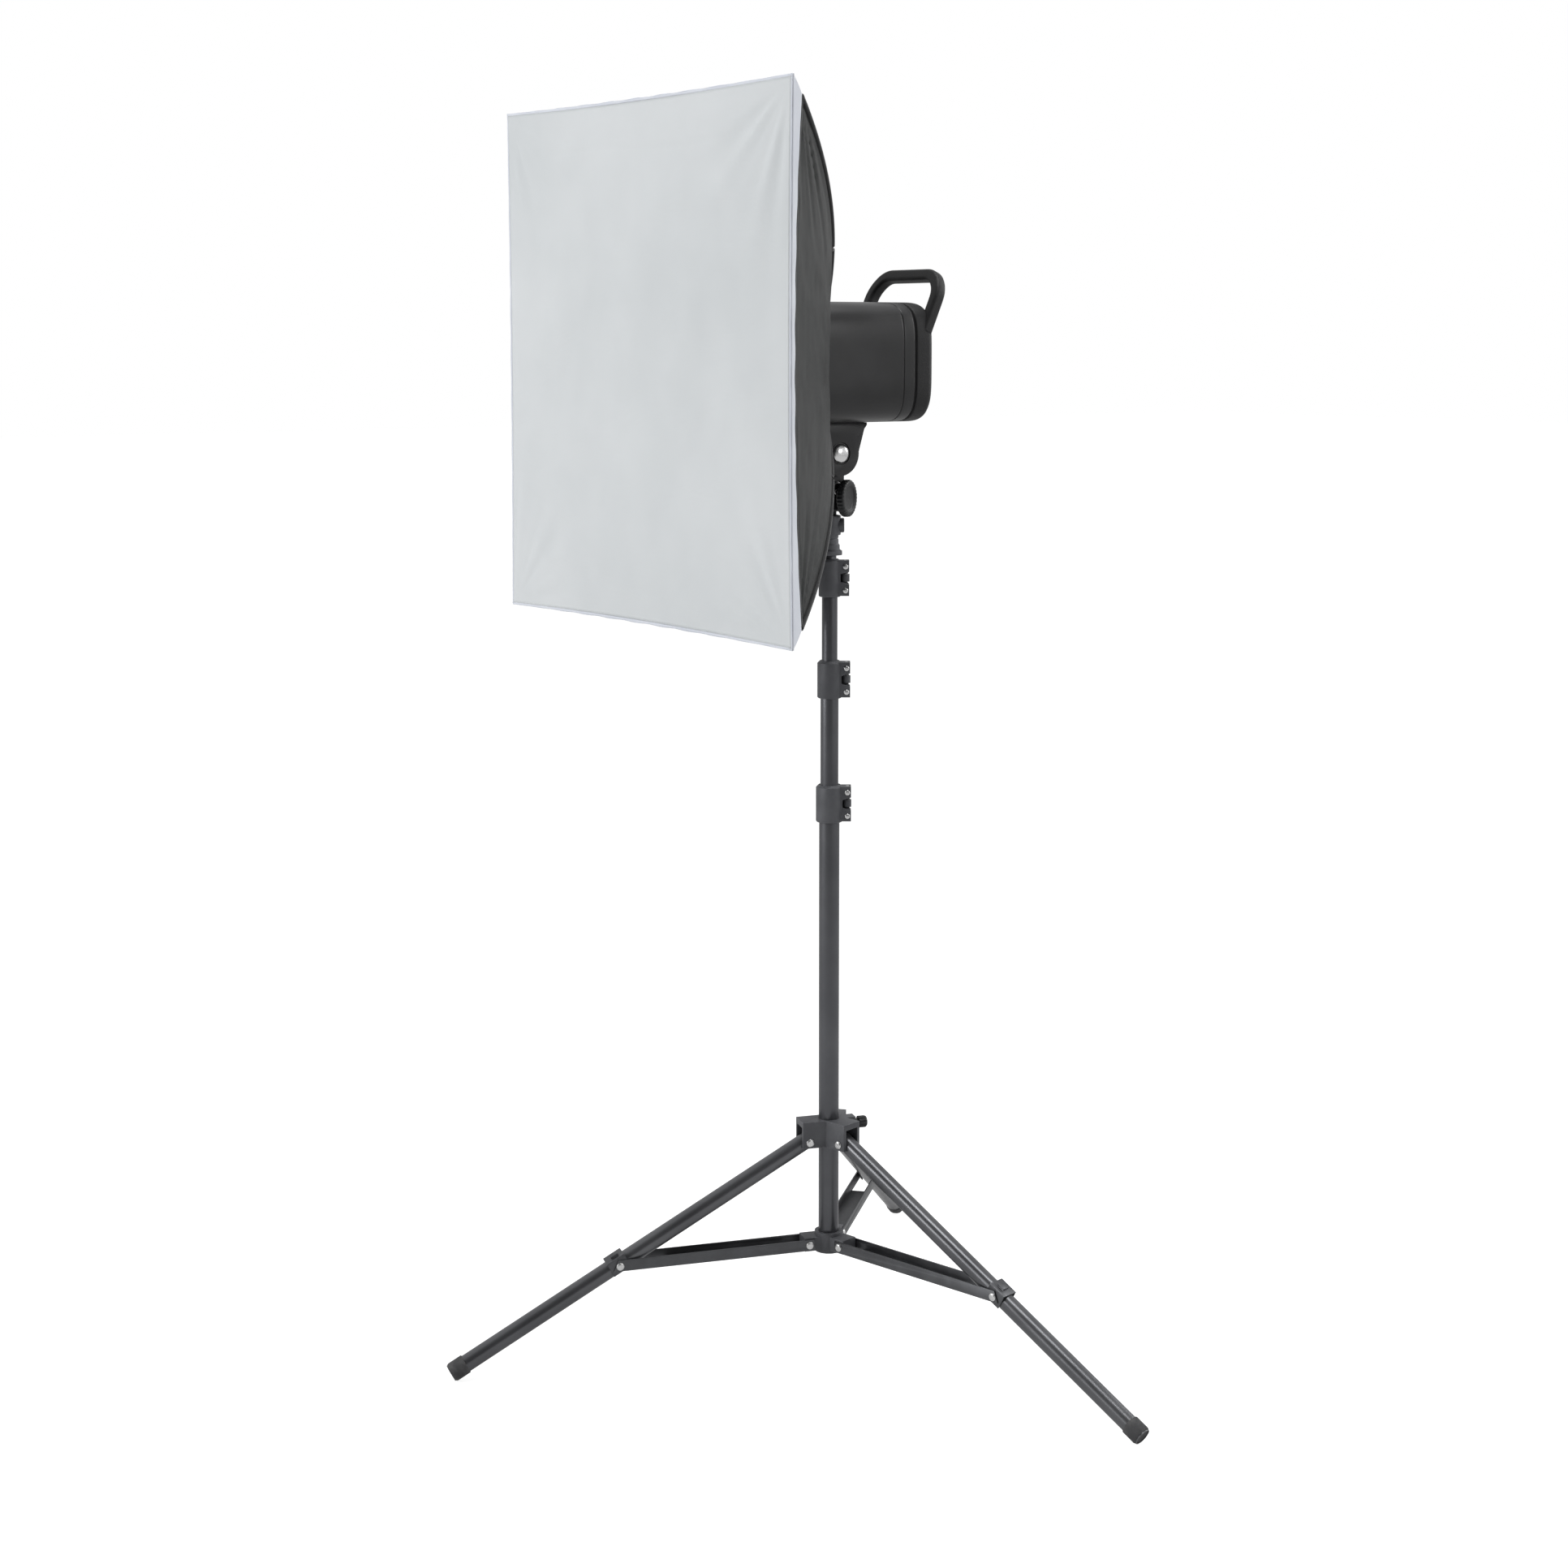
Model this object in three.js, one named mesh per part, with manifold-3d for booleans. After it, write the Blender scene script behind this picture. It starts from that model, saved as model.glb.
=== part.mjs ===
// A square studio softbox on an LED monolight, carried by a folding four-section light stand.
// Millimetres, +Z up, the softbox faces -Y and the column of the stand is vertical.
import * as THREE from 'three';
import { mergeVertices } from 'three/addons/utils/BufferGeometryUtils.js';
import Module from 'manifold-3d';

const wasm = await Module();
wasm.setup();

const degrees = THREE.MathUtils.degToRad;

// ---------------------------------------------------------------- driving dimensions
const gap = 0.3; // clearance between touching pieces

const legCount = 3;
const firstLegAzimuth = -108; // degrees from +X, the other legs follow every 120 degrees
const clampAzimuth = 54; // direction that the clamp ears point in
const collarKnobAzimuth = 72; // midway between two legs
const receiverKnobAzimuth = 30;

const tubeWall = 1;
const baseTube = { radius: 12.5, bottom: 118, top: 690 };
const lowerMidTube = { radius: 11, bottom: 235, top: 842 };
const upperMidTube = { radius: 9.5, bottom: 355, top: 966 };
const topTube = { radius: 8, bottom: 400, top: 982.5 };

const clampHeight = 46;
const clampBottoms = { lower: 655, middle: 808, upper: 932 };

const pivotRadius = 28.5; // of leg and brace pivots, from the column's axis
const collarPivotHeight = 256;
const collarBottom = 249;
const collarTop = 282;
const hubPivotHeight = 125;
const hubBottom = 113;
const hubTop = 138;

const legSection = 20;
const legWall = 1.2;
const footRadius = 479; // of the end of a foot cap
const footEndHeight = 8.2; // of the centre of that end
const bracePivotRadius = 270;
const braceInnerWidth = 24;
const braceSheet = 1.5;
const braceHeight = 14;

const lampAxisHeight = 1215;
const lampHalf = 72; // half the width and half the height of the lamp
const lampFront = -58;
const bezelFront = 73.4;
const lampRear = 104;
const tiltAxisHeight = 1106;

const faceY = -270; // front plane of the softbox
const faceHalf = 301;
const skinThickness = 2;
const rimDepth = 28;
const skinRear = -59;

// ---------------------------------------------------------------- materials
const finish = (color, roughness, metalness) =>
  new THREE.MeshStandardMaterial({ color, roughness, metalness });
const finishes = {
  casting: () => finish(0x5b5d62, 0.55, 0.3),
  paintedTube: () => finish(0x6c6e73, 0.35, 0.6),
  legTube: () => finish(0x7c7e82, 0.35, 0.6),
  steel: () => finish(0xd4d5d7, 0.25, 0.9),
  blackPlastic: () => finish(0x1b1c1e, 0.45, 0),
  blackMetal: () => finish(0x222326, 0.4, 0.5),
  rubber: () => finish(0x38393c, 0.8, 0),
  aluminium: () => finish(0xb9bbbe, 0.4, 0.9),
  board: () => finish(0x1f5f3c, 0.6, 0),
  phosphor: () => finish(0xe8c840, 0.5, 0),
  display: () => finish(0x0b0d10, 0.1, 0),
  blackCloth: () => finish(0x15191a, 0.75, 0),
  whiteCloth: () => finish(0xd2d5d6, 0.85, 0),
  rimCloth: () => finish(0xe0e4ee, 0.8, 0),
};

// ---------------------------------------------------------------- solids
// Shared vertices, no empty triangles, faces outwards.
function closedBody(source) {
  let geometry = source.clone();
  for (const name of Object.keys(geometry.attributes)) {
    if (name !== 'position') geometry.deleteAttribute(name);
  }
  geometry.clearGroups();
  geometry = mergeVertices(geometry, 1e-4);
  const old = geometry.index.array;
  const kept = [];
  for (let i = 0; i < old.length; i += 3) {
    const [a, b, c] = [old[i], old[i + 1], old[i + 2]];
    if (a !== b && b !== c && c !== a) kept.push(a, b, c);
  }
  if (signedVolume(geometry.attributes.position, kept) < 0) {
    for (let i = 0; i < kept.length; i += 3) {
      [kept[i + 1], kept[i + 2]] = [kept[i + 2], kept[i + 1]];
    }
  }
  geometry.setIndex(kept);
  return geometry;
}

function signedVolume(position, index) {
  const [a, b, c] = [new THREE.Vector3(), new THREE.Vector3(), new THREE.Vector3()];
  let sum = 0;
  for (let i = 0; i < index.length; i += 3) {
    a.fromBufferAttribute(position, index[i]);
    b.fromBufferAttribute(position, index[i + 1]);
    c.fromBufferAttribute(position, index[i + 2]);
    sum += a.dot(b.cross(c)) / 6;
  }
  return sum;
}

function toSolid(source) {
  const geometry = closedBody(source);
  return new wasm.Manifold(new wasm.Mesh({
    numProp: 3,
    vertProperties: Float32Array.from(geometry.attributes.position.array),
    triVerts: Uint32Array.from(geometry.index.array),
  }));
}

function fromSolid(solid) {
  const mesh = solid.getMesh();
  const geometry = new THREE.BufferGeometry();
  geometry.setAttribute('position', new THREE.BufferAttribute(mesh.vertProperties, 3));
  geometry.setIndex(new THREE.BufferAttribute(mesh.triVerts, 1));
  return geometry;
}

function joined(...geometries) {
  return fromSolid(geometries.map(toSolid).reduce((whole, part) => whole.add(part)));
}

function cut(base, ...tools) {
  return fromSolid(tools.map(toSolid).reduce((rest, tool) => rest.subtract(tool), toSolid(base)));
}

function common(base, tool) {
  return fromSolid(toSolid(base).intersect(toSolid(tool)));
}

const unitX = new THREE.Vector3(1, 0, 0);
const unitY = new THREE.Vector3(0, 1, 0);
const unitZ = new THREE.Vector3(0, 0, 1);

function boxBetween([x0, x1], [y0, y1], [z0, z1]) {
  const box = new THREE.BoxGeometry(x1 - x0, y1 - y0, z1 - z0);
  return box.translate((x0 + x1) / 2, (y0 + y1) / 2, (z0 + z1) / 2);
}

// A profile of [radius, height along the axis] turned about an axis through the origin.
function turned(profile, axis = 'z', segments = 20) {
  const points = profile.map(([radius, height]) => new THREE.Vector2(radius, height));
  const geometry = new THREE.LatheGeometry(points, segments);
  if (axis === 'z') geometry.rotateX(Math.PI / 2);
  if (axis === 'x') geometry.rotateZ(-Math.PI / 2);
  return geometry;
}

function ring(inner, outer, bottom, top, axis = 'z', segments = 20) {
  const profile = [[inner, bottom], [outer, bottom], [outer, top], [inner, top], [inner, bottom]];
  return turned(profile, axis, segments);
}

function rod(radius, from, to, axis = 'z', segments = 16) {
  return turned([[0, from], [radius, from], [radius, to], [0, to]], axis, segments);
}

// Outlines are drawn in the two axes that follow the extrusion's own: YZ for x, XZ for y.
function extrudedX(shape, from, to, curveSegments = 5) {
  const geometry = new THREE.ExtrudeGeometry(shape, { depth: to - from, bevelEnabled: false, curveSegments });
  geometry.translate(0, 0, from);
  return geometry.applyMatrix4(new THREE.Matrix4().makeBasis(unitY, unitZ, unitX));
}

function extrudedY(shape, from, to, curveSegments = 5) {
  const geometry = new THREE.ExtrudeGeometry(shape, { depth: to - from, bevelEnabled: false, curveSegments });
  geometry.translate(0, 0, -to);
  return geometry.applyMatrix4(new THREE.Matrix4().makeBasis(unitX, unitZ, unitY.clone().negate()));
}

function extrudedZ(shape, from, to, curveSegments = 5) {
  const geometry = new THREE.ExtrudeGeometry(shape, { depth: to - from, bevelEnabled: false, curveSegments });
  return geometry.translate(0, 0, from);
}

function polygon(points) {
  return new THREE.Shape(points.map(([u, v]) => new THREE.Vector2(u, v)));
}

function roundedSquare(half, corner) {
  const shape = new THREE.Shape();
  const flat = half - corner;
  shape.absarc(flat, -flat, corner, -Math.PI / 2, 0);
  shape.absarc(flat, flat, corner, 0, Math.PI / 2);
  shape.absarc(-flat, flat, corner, Math.PI / 2, Math.PI);
  shape.absarc(-flat, -flat, corner, Math.PI, Math.PI * 1.5);
  return shape;
}

// A profile of [half width, y] carried round a square with full, bulging corners.
const squarePower = 4.6;
function squareTurned(profile, segments = 36) {
  const geometry = turned(profile, 'y', segments);
  const position = geometry.attributes.position;
  for (let i = 0; i < position.count; i += 1) {
    const x = position.getX(i);
    const z = position.getZ(i);
    const radius = Math.hypot(x, z);
    if (radius < 1e-6) continue;
    const sum = Math.abs(x / radius) ** squarePower + Math.abs(z / radius) ** squarePower;
    const stretch = sum ** (-1 / squarePower);
    position.setX(i, x * stretch);
    position.setZ(i, z * stretch);
  }
  return geometry;
}

// ---------------------------------------------------------------- scene graph
const softbox = new THREE.Group();
const model = new THREE.Group(); // column on the Z axis, floor at z = 0
softbox.add(model);

function place(name, geometry, material, parent = model) {
  const mesh = new THREE.Mesh(closedBody(geometry), material);
  mesh.name = name;
  parent.add(mesh);
  return mesh;
}

function groupAt(x, y, z, parent = model) {
  const group = new THREE.Group();
  group.position.set(x, y, z);
  parent.add(group);
  return group;
}

function facing(azimuth, parent = model) {
  const group = new THREE.Group();
  group.rotation.z = degrees(azimuth);
  parent.add(group);
  return group;
}

// ---------------------------------------------------------------- column
function makeTube(name, { radius, bottom, top }) {
  place(name, ring(radius - tubeWall, radius, bottom, top, 'z', 24), finishes.paintedTube());
}

function makeStandHead() {
  const flangeBottom = topTube.top + gap;
  const neck = topTube.radius - tubeWall - gap; // plug that goes down into the top tube
  const head = turned([
    [0, flangeBottom - 30], [neck, flangeBottom - 30], [neck, flangeBottom], [15, flangeBottom],
    [15, flangeBottom + 5], [12, flangeBottom + 7], [12, flangeBottom + 12], [10.5, flangeBottom + 14],
    [10.5, flangeBottom + 26], [9, flangeBottom + 28], [8, flangeBottom + 30], [8, 1068], [6, 1070], [0, 1070],
  ]);
  place('stand_spigot', head, finishes.casting());
}

// A casting that grips the top of one tube and squeezes the next one when its lever is closed.
function makeSectionClamp(level, bottom, outerTube, innerTube) {
  const side = facing(clampAzimuth);
  side.position.z = bottom;
  const wall = outerTube.radius + 4;
  const step = outerTube.top - bottom + gap;
  const earEnd = wall + 10;
  const pivot = wall + 5.5;
  const sleeve = turned([
    [0, 0], [wall - 1, 0], [wall, 1], [wall, clampHeight - 3], [wall - 3, clampHeight], [0, clampHeight],
  ]);
  const ear = boxBetween([wall - 5, earEnd], [-9, 9], [1.5, clampHeight - 1.5]);
  const slit = boxBetween([0, earEnd + 5], [-0.8, 0.8], [-1, clampHeight + 1]);
  const window = boxBetween([wall - 0.5, earEnd + 5], [-20, 20], [18, 28]);
  const bore = turned([
    [0, -1], [outerTube.radius + gap, -1], [outerTube.radius + gap, step], [innerTube.radius + gap, step],
    [innerTube.radius + gap, clampHeight + 1], [0, clampHeight + 1],
  ], 'z', 24);
  const pinBore = rod(2.3, -1, clampHeight + 1, 'z', 12).translate(pivot, 0, 0);
  const body = cut(joined(sleeve, ear), bore, slit, window, pinBore);
  place(`section_clamp_${level}`, body, finishes.casting(), side);
  place(`clamp_pin_${level}`, rod(2, 2, clampHeight - 2, 'z', 12).translate(pivot, 0, 0), finishes.steel(), side);
  makeClampLever(level, side, wall, pivot);
}

// A cam round the pin, and an arm that follows the casting's back.
function makeClampLever(level, side, wall, pivot) {
  const inner = wall + 1.4;
  const outer = wall + 6;
  const arm = new THREE.Shape();
  arm.absarc(0, 0, outer, degrees(22), degrees(118), false);
  arm.absarc(0, 0, inner, degrees(118), degrees(22), true);
  const cam = rod(5, 18.4, 27.6, 'z', 16).translate(pivot, 0, 0);
  const link = boxBetween([pivot - 5, pivot + 3], [0, 13], [18.4, 27.6]);
  const earSweep = rod(10.7, 0, 60, 'z', 24).translate(pivot, 0, 0); // room for the ear's corner as the lever turns
  const thumb = cut(extrudedZ(arm, 14, 32, 14), boxBetween([0, 60], [-20, 9.3], [0, 60]), earSweep);
  const solid = joined(cam, link, thumb);
  const lever = cut(solid, rod(2.3, 0, 60, 'z', 12).translate(pivot, 0, 0));
  place(`clamp_lever_${level}`, lever, finishes.blackPlastic(), side);
}

makeTube('base_tube', baseTube);
makeTube('lower_mid_tube', lowerMidTube);
makeTube('upper_mid_tube', upperMidTube);
makeTube('top_tube', topTube);
makeSectionClamp('lower', clampBottoms.lower, baseTube, lowerMidTube);
makeSectionClamp('middle', clampBottoms.middle, lowerMidTube, upperMidTube);
makeSectionClamp('upper', clampBottoms.upper, upperMidTube, topTube);
makeStandHead();

// ---------------------------------------------------------------- tripod base
const legAzimuths = Array.from({ length: legCount }, (_, k) => firstLegAzimuth + (k * 360) / legCount);
const legRun = footRadius - pivotRadius;
const legSlope = Math.atan2(collarPivotHeight - footEndHeight, legRun);
const legLength = Math.hypot(collarPivotHeight - footEndHeight, legRun); // pivot to the end of the foot
const legHalf = legSection / 2;
const bracePivotAlong = (bracePivotRadius - pivotRadius) / Math.cos(legSlope);
const braceLength = bracePivotRadius - pivotRadius;
const braceHalf = braceInnerWidth / 2;
const coreRadius = 16.5;
const tubeBore = baseTube.radius + gap;

function lugs(halfWidth, length, bottom, top) {
  return legAzimuths.map((azimuth) =>
    boxBetween([8, length], [-halfWidth, halfWidth], [bottom, top]).rotateZ(degrees(azimuth)));
}

function radialBox(azimuth, x, y, z) {
  return boxBetween(x, y, z).rotateZ(degrees(azimuth));
}

function makeLegCollar() {
  const lugHalf = legHalf + gap + 4.2;
  const core = rod(coreRadius, collarBottom, collarTop);
  const knobBoss = radialBox(collarKnobAzimuth, [10, 33], [-7, 7], [263, collarTop]);
  const slots = legAzimuths.map((azimuth) =>
    radialBox(azimuth, [coreRadius + 0.2, 60], [-legHalf - gap, legHalf + gap], [200, collarTop - 7]));
  const pinBores = legAzimuths.map((azimuth) =>
    rod(3.3, -40, 40, 'y', 12).translate(pivotRadius, 0, collarPivotHeight).rotateZ(degrees(azimuth)));
  const knobBore = rod(2.8, 5, 50, 'x', 12).translate(0, 0, 273).rotateZ(degrees(collarKnobAzimuth));
  const bore = rod(tubeBore, 200, 300, 'z', 24);
  const blank = joined(core, knobBoss, ...lugs(lugHalf, 38, collarBottom, collarTop));
  place('leg_collar', cut(blank, ...slots, ...pinBores, knobBore, bore), finishes.casting());
  for (let k = 0; k < legCount; k += 1) {
    const side = facing(legAzimuths[k]);
    const reach = lugHalf + gap;
    const pin = turned([
      [0, -reach - 1.8], [3.4, -reach - 1.8], [5, -reach - 0.6], [5, -reach], [3, -reach],
      [3, reach], [5, reach], [5, reach + 0.6], [3.4, reach + 1.8], [0, reach + 1.8],
    ], 'y', 12);
    place(`leg_pin_${k + 1}`, pin.translate(pivotRadius, 0, collarPivotHeight), finishes.steel(), side);
  }
}

function makeCollarKnob() {
  const knob = turned([
    [0, 13.6], [2.5, 13.6], [2.5, 33.6], [4.5, 33.6], [4.5, 37], [7.5, 38], [7.5, 47], [6, 49], [0, 49],
  ], 'x', 16);
  place('collar_knob', knob.translate(0, 0, 273), finishes.blackPlastic(), facing(collarKnobAzimuth));
}

function makeBraceHub() {
  const tongueHalf = braceHalf - gap - 0.2;
  const pins = legAzimuths.map((azimuth) =>
    rod(2.5, -braceHalf - braceSheet, braceHalf + braceSheet, 'y', 12)
      .translate(pivotRadius, 0, hubPivotHeight).rotateZ(degrees(azimuth)));
  const blank = joined(rod(coreRadius + 1, hubBottom, hubTop), ...lugs(tongueHalf, 34.5, hubBottom + 4, hubTop - 4), ...pins);
  const socket = rod(tubeBore, baseTube.bottom - gap, 300, 'z', 24);
  place('brace_hub', cut(blank, socket), finishes.casting());
}

function makeLeg(k) {
  const side = facing(legAzimuths[k]);
  const along = groupAt(pivotRadius, 0, collarPivotHeight, side);
  along.rotation.y = legSlope;
  const tubeEnd = legLength - 3;
  const section = roundedSquare(legHalf, 5);
  section.holes.push(roundedSquare(legHalf - legWall, 5 - legWall));
  const leg = cut(extrudedX(section, -5, tubeEnd, 3), rod(3.3, -20, 20, 'y', 12));
  place(`leg_${k + 1}`, leg, finishes.legTube(), along);
  makeFootCap(k, side, along);
  makeLegClip(k, along);
}

// A rubber cap over the end of the leg, with its lowest corner flat on the floor.
function makeFootCap(k, side, along) {
  const outside = extrudedX(roundedSquare(legHalf + 1.8, 6.5), legLength - 30, legLength, 3);
  const pocket = extrudedX(roundedSquare(legHalf + gap, 5 + gap), legLength - 40, legLength - 3 + gap, 3);
  const cap = cut(outside, pocket).rotateY(legSlope).translate(pivotRadius, 0, collarPivotHeight);
  const aboveFloor = boxBetween([0, 900], [-60, 60], [0, 200]);
  place(`foot_cap_${k + 1}`, common(cap, aboveFloor), finishes.rubber(), side);
}

// A sheet saddle on the leg that the brace is riveted to.
function makeLegClip(k, along) {
  const [inner, outer] = [legHalf + gap, braceHalf - gap];
  const saddle = polygon([
    [-outer, -7], [-inner, -7], [-inner, inner], [inner, inner], [inner, -7], [outer, -7],
    [outer, outer - 0.6], [outer - 1, outer], [1 - outer, outer], [-outer, outer - 0.6],
  ]);
  const clip = extrudedX(saddle, bracePivotAlong - 12, bracePivotAlong + 12);
  const tab = boxBetween([bracePivotAlong - 6, bracePivotAlong + 4], [-5, 5], [inner + 0.4, inner + 4]);
  place(`leg_clip_${k + 1}`, joined(clip, tab), finishes.steel(), along);
}

// A U-channel, open upwards, with its ends cut back so that it clears the hub and the leg.
function makeBrace(k) {
  const pivot = groupAt(pivotRadius, 0, hubPivotHeight, facing(legAzimuths[k]));
  const outer = braceHalf + braceSheet;
  const [low, high] = [-braceHeight / 2, braceHeight / 2];
  const channel = polygon([
    [-outer, low], [outer, low], [outer, high], [braceHalf, high],
    [braceHalf, low + braceSheet], [-braceHalf, low + braceSheet], [-braceHalf, high], [-outer, high],
  ]);
  const hubEnd = boxBetween([-20, 16], [-braceHalf, braceHalf], [-20, 20]);
  const legEnd = boxBetween([braceLength - 62, braceLength + 20], [-braceHalf, braceHalf], [-20, 20]);
  const slant = extrudedY(polygon([[braceLength + 2, high + 1], [braceLength + 30, high + 1],
    [braceLength + 30, low - 1], [braceLength + 8, low - 1]]), -20, 20);
  const pinBore = rod(2.8, -20, 20, 'y', 12);
  const brace = cut(extrudedX(channel, -7, braceLength + 8), hubEnd, legEnd, slant, pinBore);
  place(`brace_${k + 1}`, brace, finishes.steel(), pivot);
}

makeLegCollar();
makeCollarKnob();
makeBraceHub();
for (let k = 0; k < legCount; k += 1) {
  makeLeg(k);
  makeBrace(k);
}

// ---------------------------------------------------------------- lamp mount
const cheekOuter = 22;
const cheekInner = 11.6;
const bridgeBottom = 1134;
const lampBottom = lampAxisHeight - lampHalf;

function makeReceiver() {
  const side = facing(receiverKnobAzimuth);
  const bodyTop = 1072;
  const shank = turned([
    [0, 1036], [12, 1036], [13.5, 1038], [13.5, bodyTop - 2], [12, bodyTop], [0, bodyTop],
  ]);
  const neck = boxBetween([-11, 11], [-13, 13], [bodyTop - 6, tiltAxisHeight]);
  const eye = rod(23, -11, 11, 'x', 24).translate(0, 0, tiltAxisHeight);
  const studBore = rod(10.9, 1000, 1040.5, 'z', 16);
  const bore = rod(8.4, 1000, 1071, 'z', 16);
  const screwBore = rod(3.3, 0, 40, 'x', 12).translate(0, 0, 1052).rotateZ(degrees(receiverKnobAzimuth));
  const boltBore = rod(4.4, -30, 30, 'x', 16).translate(0, 0, tiltAxisHeight);
  place('spigot_receiver', cut(joined(shank, neck, eye), studBore, bore, screwBore, boltBore), finishes.blackMetal());
  const knob = turned([
    [0, 9], [3, 9], [3, 14.2], [9, 14.2], [9, 17], [20.5, 17], [22.5, 19], [22.5, 25.5], [21, 27],
    [16, 27], [14, 25.5], [0, 25.5],
  ], 'x', 24);
  place('receiver_knob', knob.translate(0, 0, 1052), finishes.blackPlastic(), side);
}

function makeTiltBracket() {
  const outline = new THREE.Shape();
  const top = lampBottom - gap - tiltAxisHeight;
  outline.moveTo(-39, top);
  outline.lineTo(-39, top - 3);
  outline.lineTo(-35, top - 8);
  outline.absarc(0, 0, 27, degrees(176), degrees(364), false);
  outline.lineTo(35, top - 8);
  outline.lineTo(39, top - 3);
  outline.lineTo(39, top);
  const blank = extrudedX(outline, -cheekOuter, cheekOuter, 14).translate(0, 0, tiltAxisHeight);
  const slot = boxBetween([-cheekInner, cheekInner], [-60, 60], [1000, bridgeBottom]);
  const bolt = rod(4.4, -60, 60, 'x', 16).translate(0, 0, tiltAxisHeight);
  const recess = rod(14, cheekOuter - 2, 60, 'x', 24).translate(0, 0, tiltAxisHeight);
  const collar = ring(11.8, 13, cheekOuter - 3, cheekOuter - 0.6, 'x', 24).translate(0, 0, tiltAxisHeight);
  place('tilt_bracket', joined(cut(blank, slot, bolt, recess), collar), finishes.blackMetal());
}

function makeTiltBolt() {
  const bolt = turned([
    [0, -36], [4, -36], [4, cheekOuter - 1.7], [11, cheekOuter - 1.7], [11, cheekOuter + 0.5],
    [9.6, cheekOuter + 2.2], [6.5, cheekOuter + 3.6], [3, cheekOuter + 4.3], [0, cheekOuter + 4.5],
  ], 'x', 16);
  place('tilt_bolt', bolt.translate(0, 0, tiltAxisHeight), finishes.steel());
  const lever = joined(
    rod(10, -cheekOuter - 15, -cheekOuter - gap, 'x', 24),
    boxBetween([-cheekOuter - 14, -cheekOuter - 7], [-6, 6], [-62, 0]),
    rod(6, -cheekOuter - 14, -cheekOuter - 7, 'x', 16).translate(0, 0, -62),
  );
  const leverSolid = cut(lever, rod(4.4, -36.6, 0, 'x', 16)).translate(0, 0, tiltAxisHeight);
  place('tilt_lever', leverSolid, finishes.blackPlastic());
}

// ---------------------------------------------------------------- lamp
const lamp = groupAt(0, 0, lampAxisHeight);
const wall = 2.5;

function makeHousing() {
  const inner = lampHalf - wall;
  const bodyRear = 73;
  const shell = squareTurned([
    [40, lampFront], [lampHalf - 3, lampFront], [lampHalf, lampFront + 3], [lampHalf, bodyRear],
    [inner, bodyRear], [inner, lampFront + 3], [40, lampFront + 3], [40, lampFront],
  ]);
  const vents = Array.from({ length: 4 }, (_, i) => boxBetween([-28, 28], [44 + i * 7, 47 + i * 7], [-80, -60]));
  place('lamp_housing', cut(shell, ...vents), finishes.blackMetal(), lamp);
  const bezel = squareTurned([
    [64, bezelFront], [69.6, bezelFront], [69.6, bezelFront + 2.4], [lampHalf, bezelFront + 3.6],
    [lampHalf, lampRear - 7], [lampHalf - 5, lampRear], [61, lampRear], [61, lampRear - 4.7],
    [64, lampRear - 4.7], [64, bezelFront],
  ]);
  place('rear_bezel', bezel, finishes.blackPlastic(), lamp);
}

const dial = { x: 26, z: -8 };
const powerSwitch = { x: -34, z: -34 };
const inlet = { x: 20, z: -40 };

function makeRearPanel() {
  const rear = lampRear - 5;
  const panel = squareTurned([[0, rear - 3], [63.7, rear - 3], [63.7, rear], [0, rear]]);
  const dialBore = rod(3.5, rear - 20, rear + 20, 'y', 12).translate(dial.x, 0, dial.z);
  const window = (spot, halfX, halfZ) => boxBetween(
    [spot.x - halfX, spot.x + halfX], [rear - 20, rear + 20], [spot.z - halfZ, spot.z + halfZ],
  );
  const plate = cut(panel, dialBore, window(powerSwitch, 8, 11), window(inlet, 14.2, 10.2));
  place('rear_panel', plate, finishes.blackPlastic(), lamp);

  const knob = turned([
    [0, rear - 12], [3.2, rear - 12], [3.2, rear + 0.4], [15, rear + 0.4], [15, rear + 3],
    [12.5, rear + 4], [12, rear + 13], [11, rear + 14], [0, rear + 14],
  ], 'y', 24);
  place('control_dial', knob.translate(dial.x, 0, dial.z), finishes.blackPlastic(), lamp);

  const rockerSide = polygon([
    [rear - 8, -9.7], [rear + 3.5, -9.7], [rear + 1.2, -3], [rear + 0.6, 2], [rear + 1.2, 9.7], [rear - 8, 9.7],
  ]);
  const rocker = extrudedX(rockerSide, -7.4, 7.4).translate(powerSwitch.x, 0, powerSwitch.z);
  place('power_switch', rocker, finishes.blackPlastic(), lamp);

  const socket = cut(
    boxBetween([-13.8, 13.8], [rear - 22, rear + 2.5], [-9.8, 9.8]),
    boxBetween([-11.5, 11.5], [rear - 18, rear + 10], [-7.5, 7.5]),
  );
  const blades = [-6, 0, 6].map((x) => boxBetween([x - 1, x + 1], [rear - 20, rear - 3], [-2, 2]));
  place('power_inlet', joined(socket, ...blades).translate(inlet.x, 0, inlet.z), finishes.blackPlastic(), lamp);

  const glass = boxBetween([-46, 4], [rear + gap, rear + 1.8], [10, 34]);
  place('display_window', glass, finishes.display(), lamp);
}

// A loop across the top of the bezel that leans back.
function makeHandle() {
  const outline = polygon([
    [-72, 0], [-72, 54], [-69, 64], [-52, 82], [-44, 85], [44, 85], [52, 82], [69, 64], [72, 54], [72, 0],
    [57, 0], [57, 50], [43, 65], [38, 68], [-38, 68], [-43, 65], [-57, 50], [-57, 0],
  ]);
  const loop = extrudedY(outline, -7, 7).rotateX(-degrees(24)).translate(0, 92, 34);
  const envelope = squareTurned([[0, -60], [lampHalf + gap, -60], [lampHalf + gap, lampRear + gap], [0, lampRear + gap]]);
  place('carry_handle', cut(loop, envelope), finishes.blackPlastic(), lamp);
}

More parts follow.
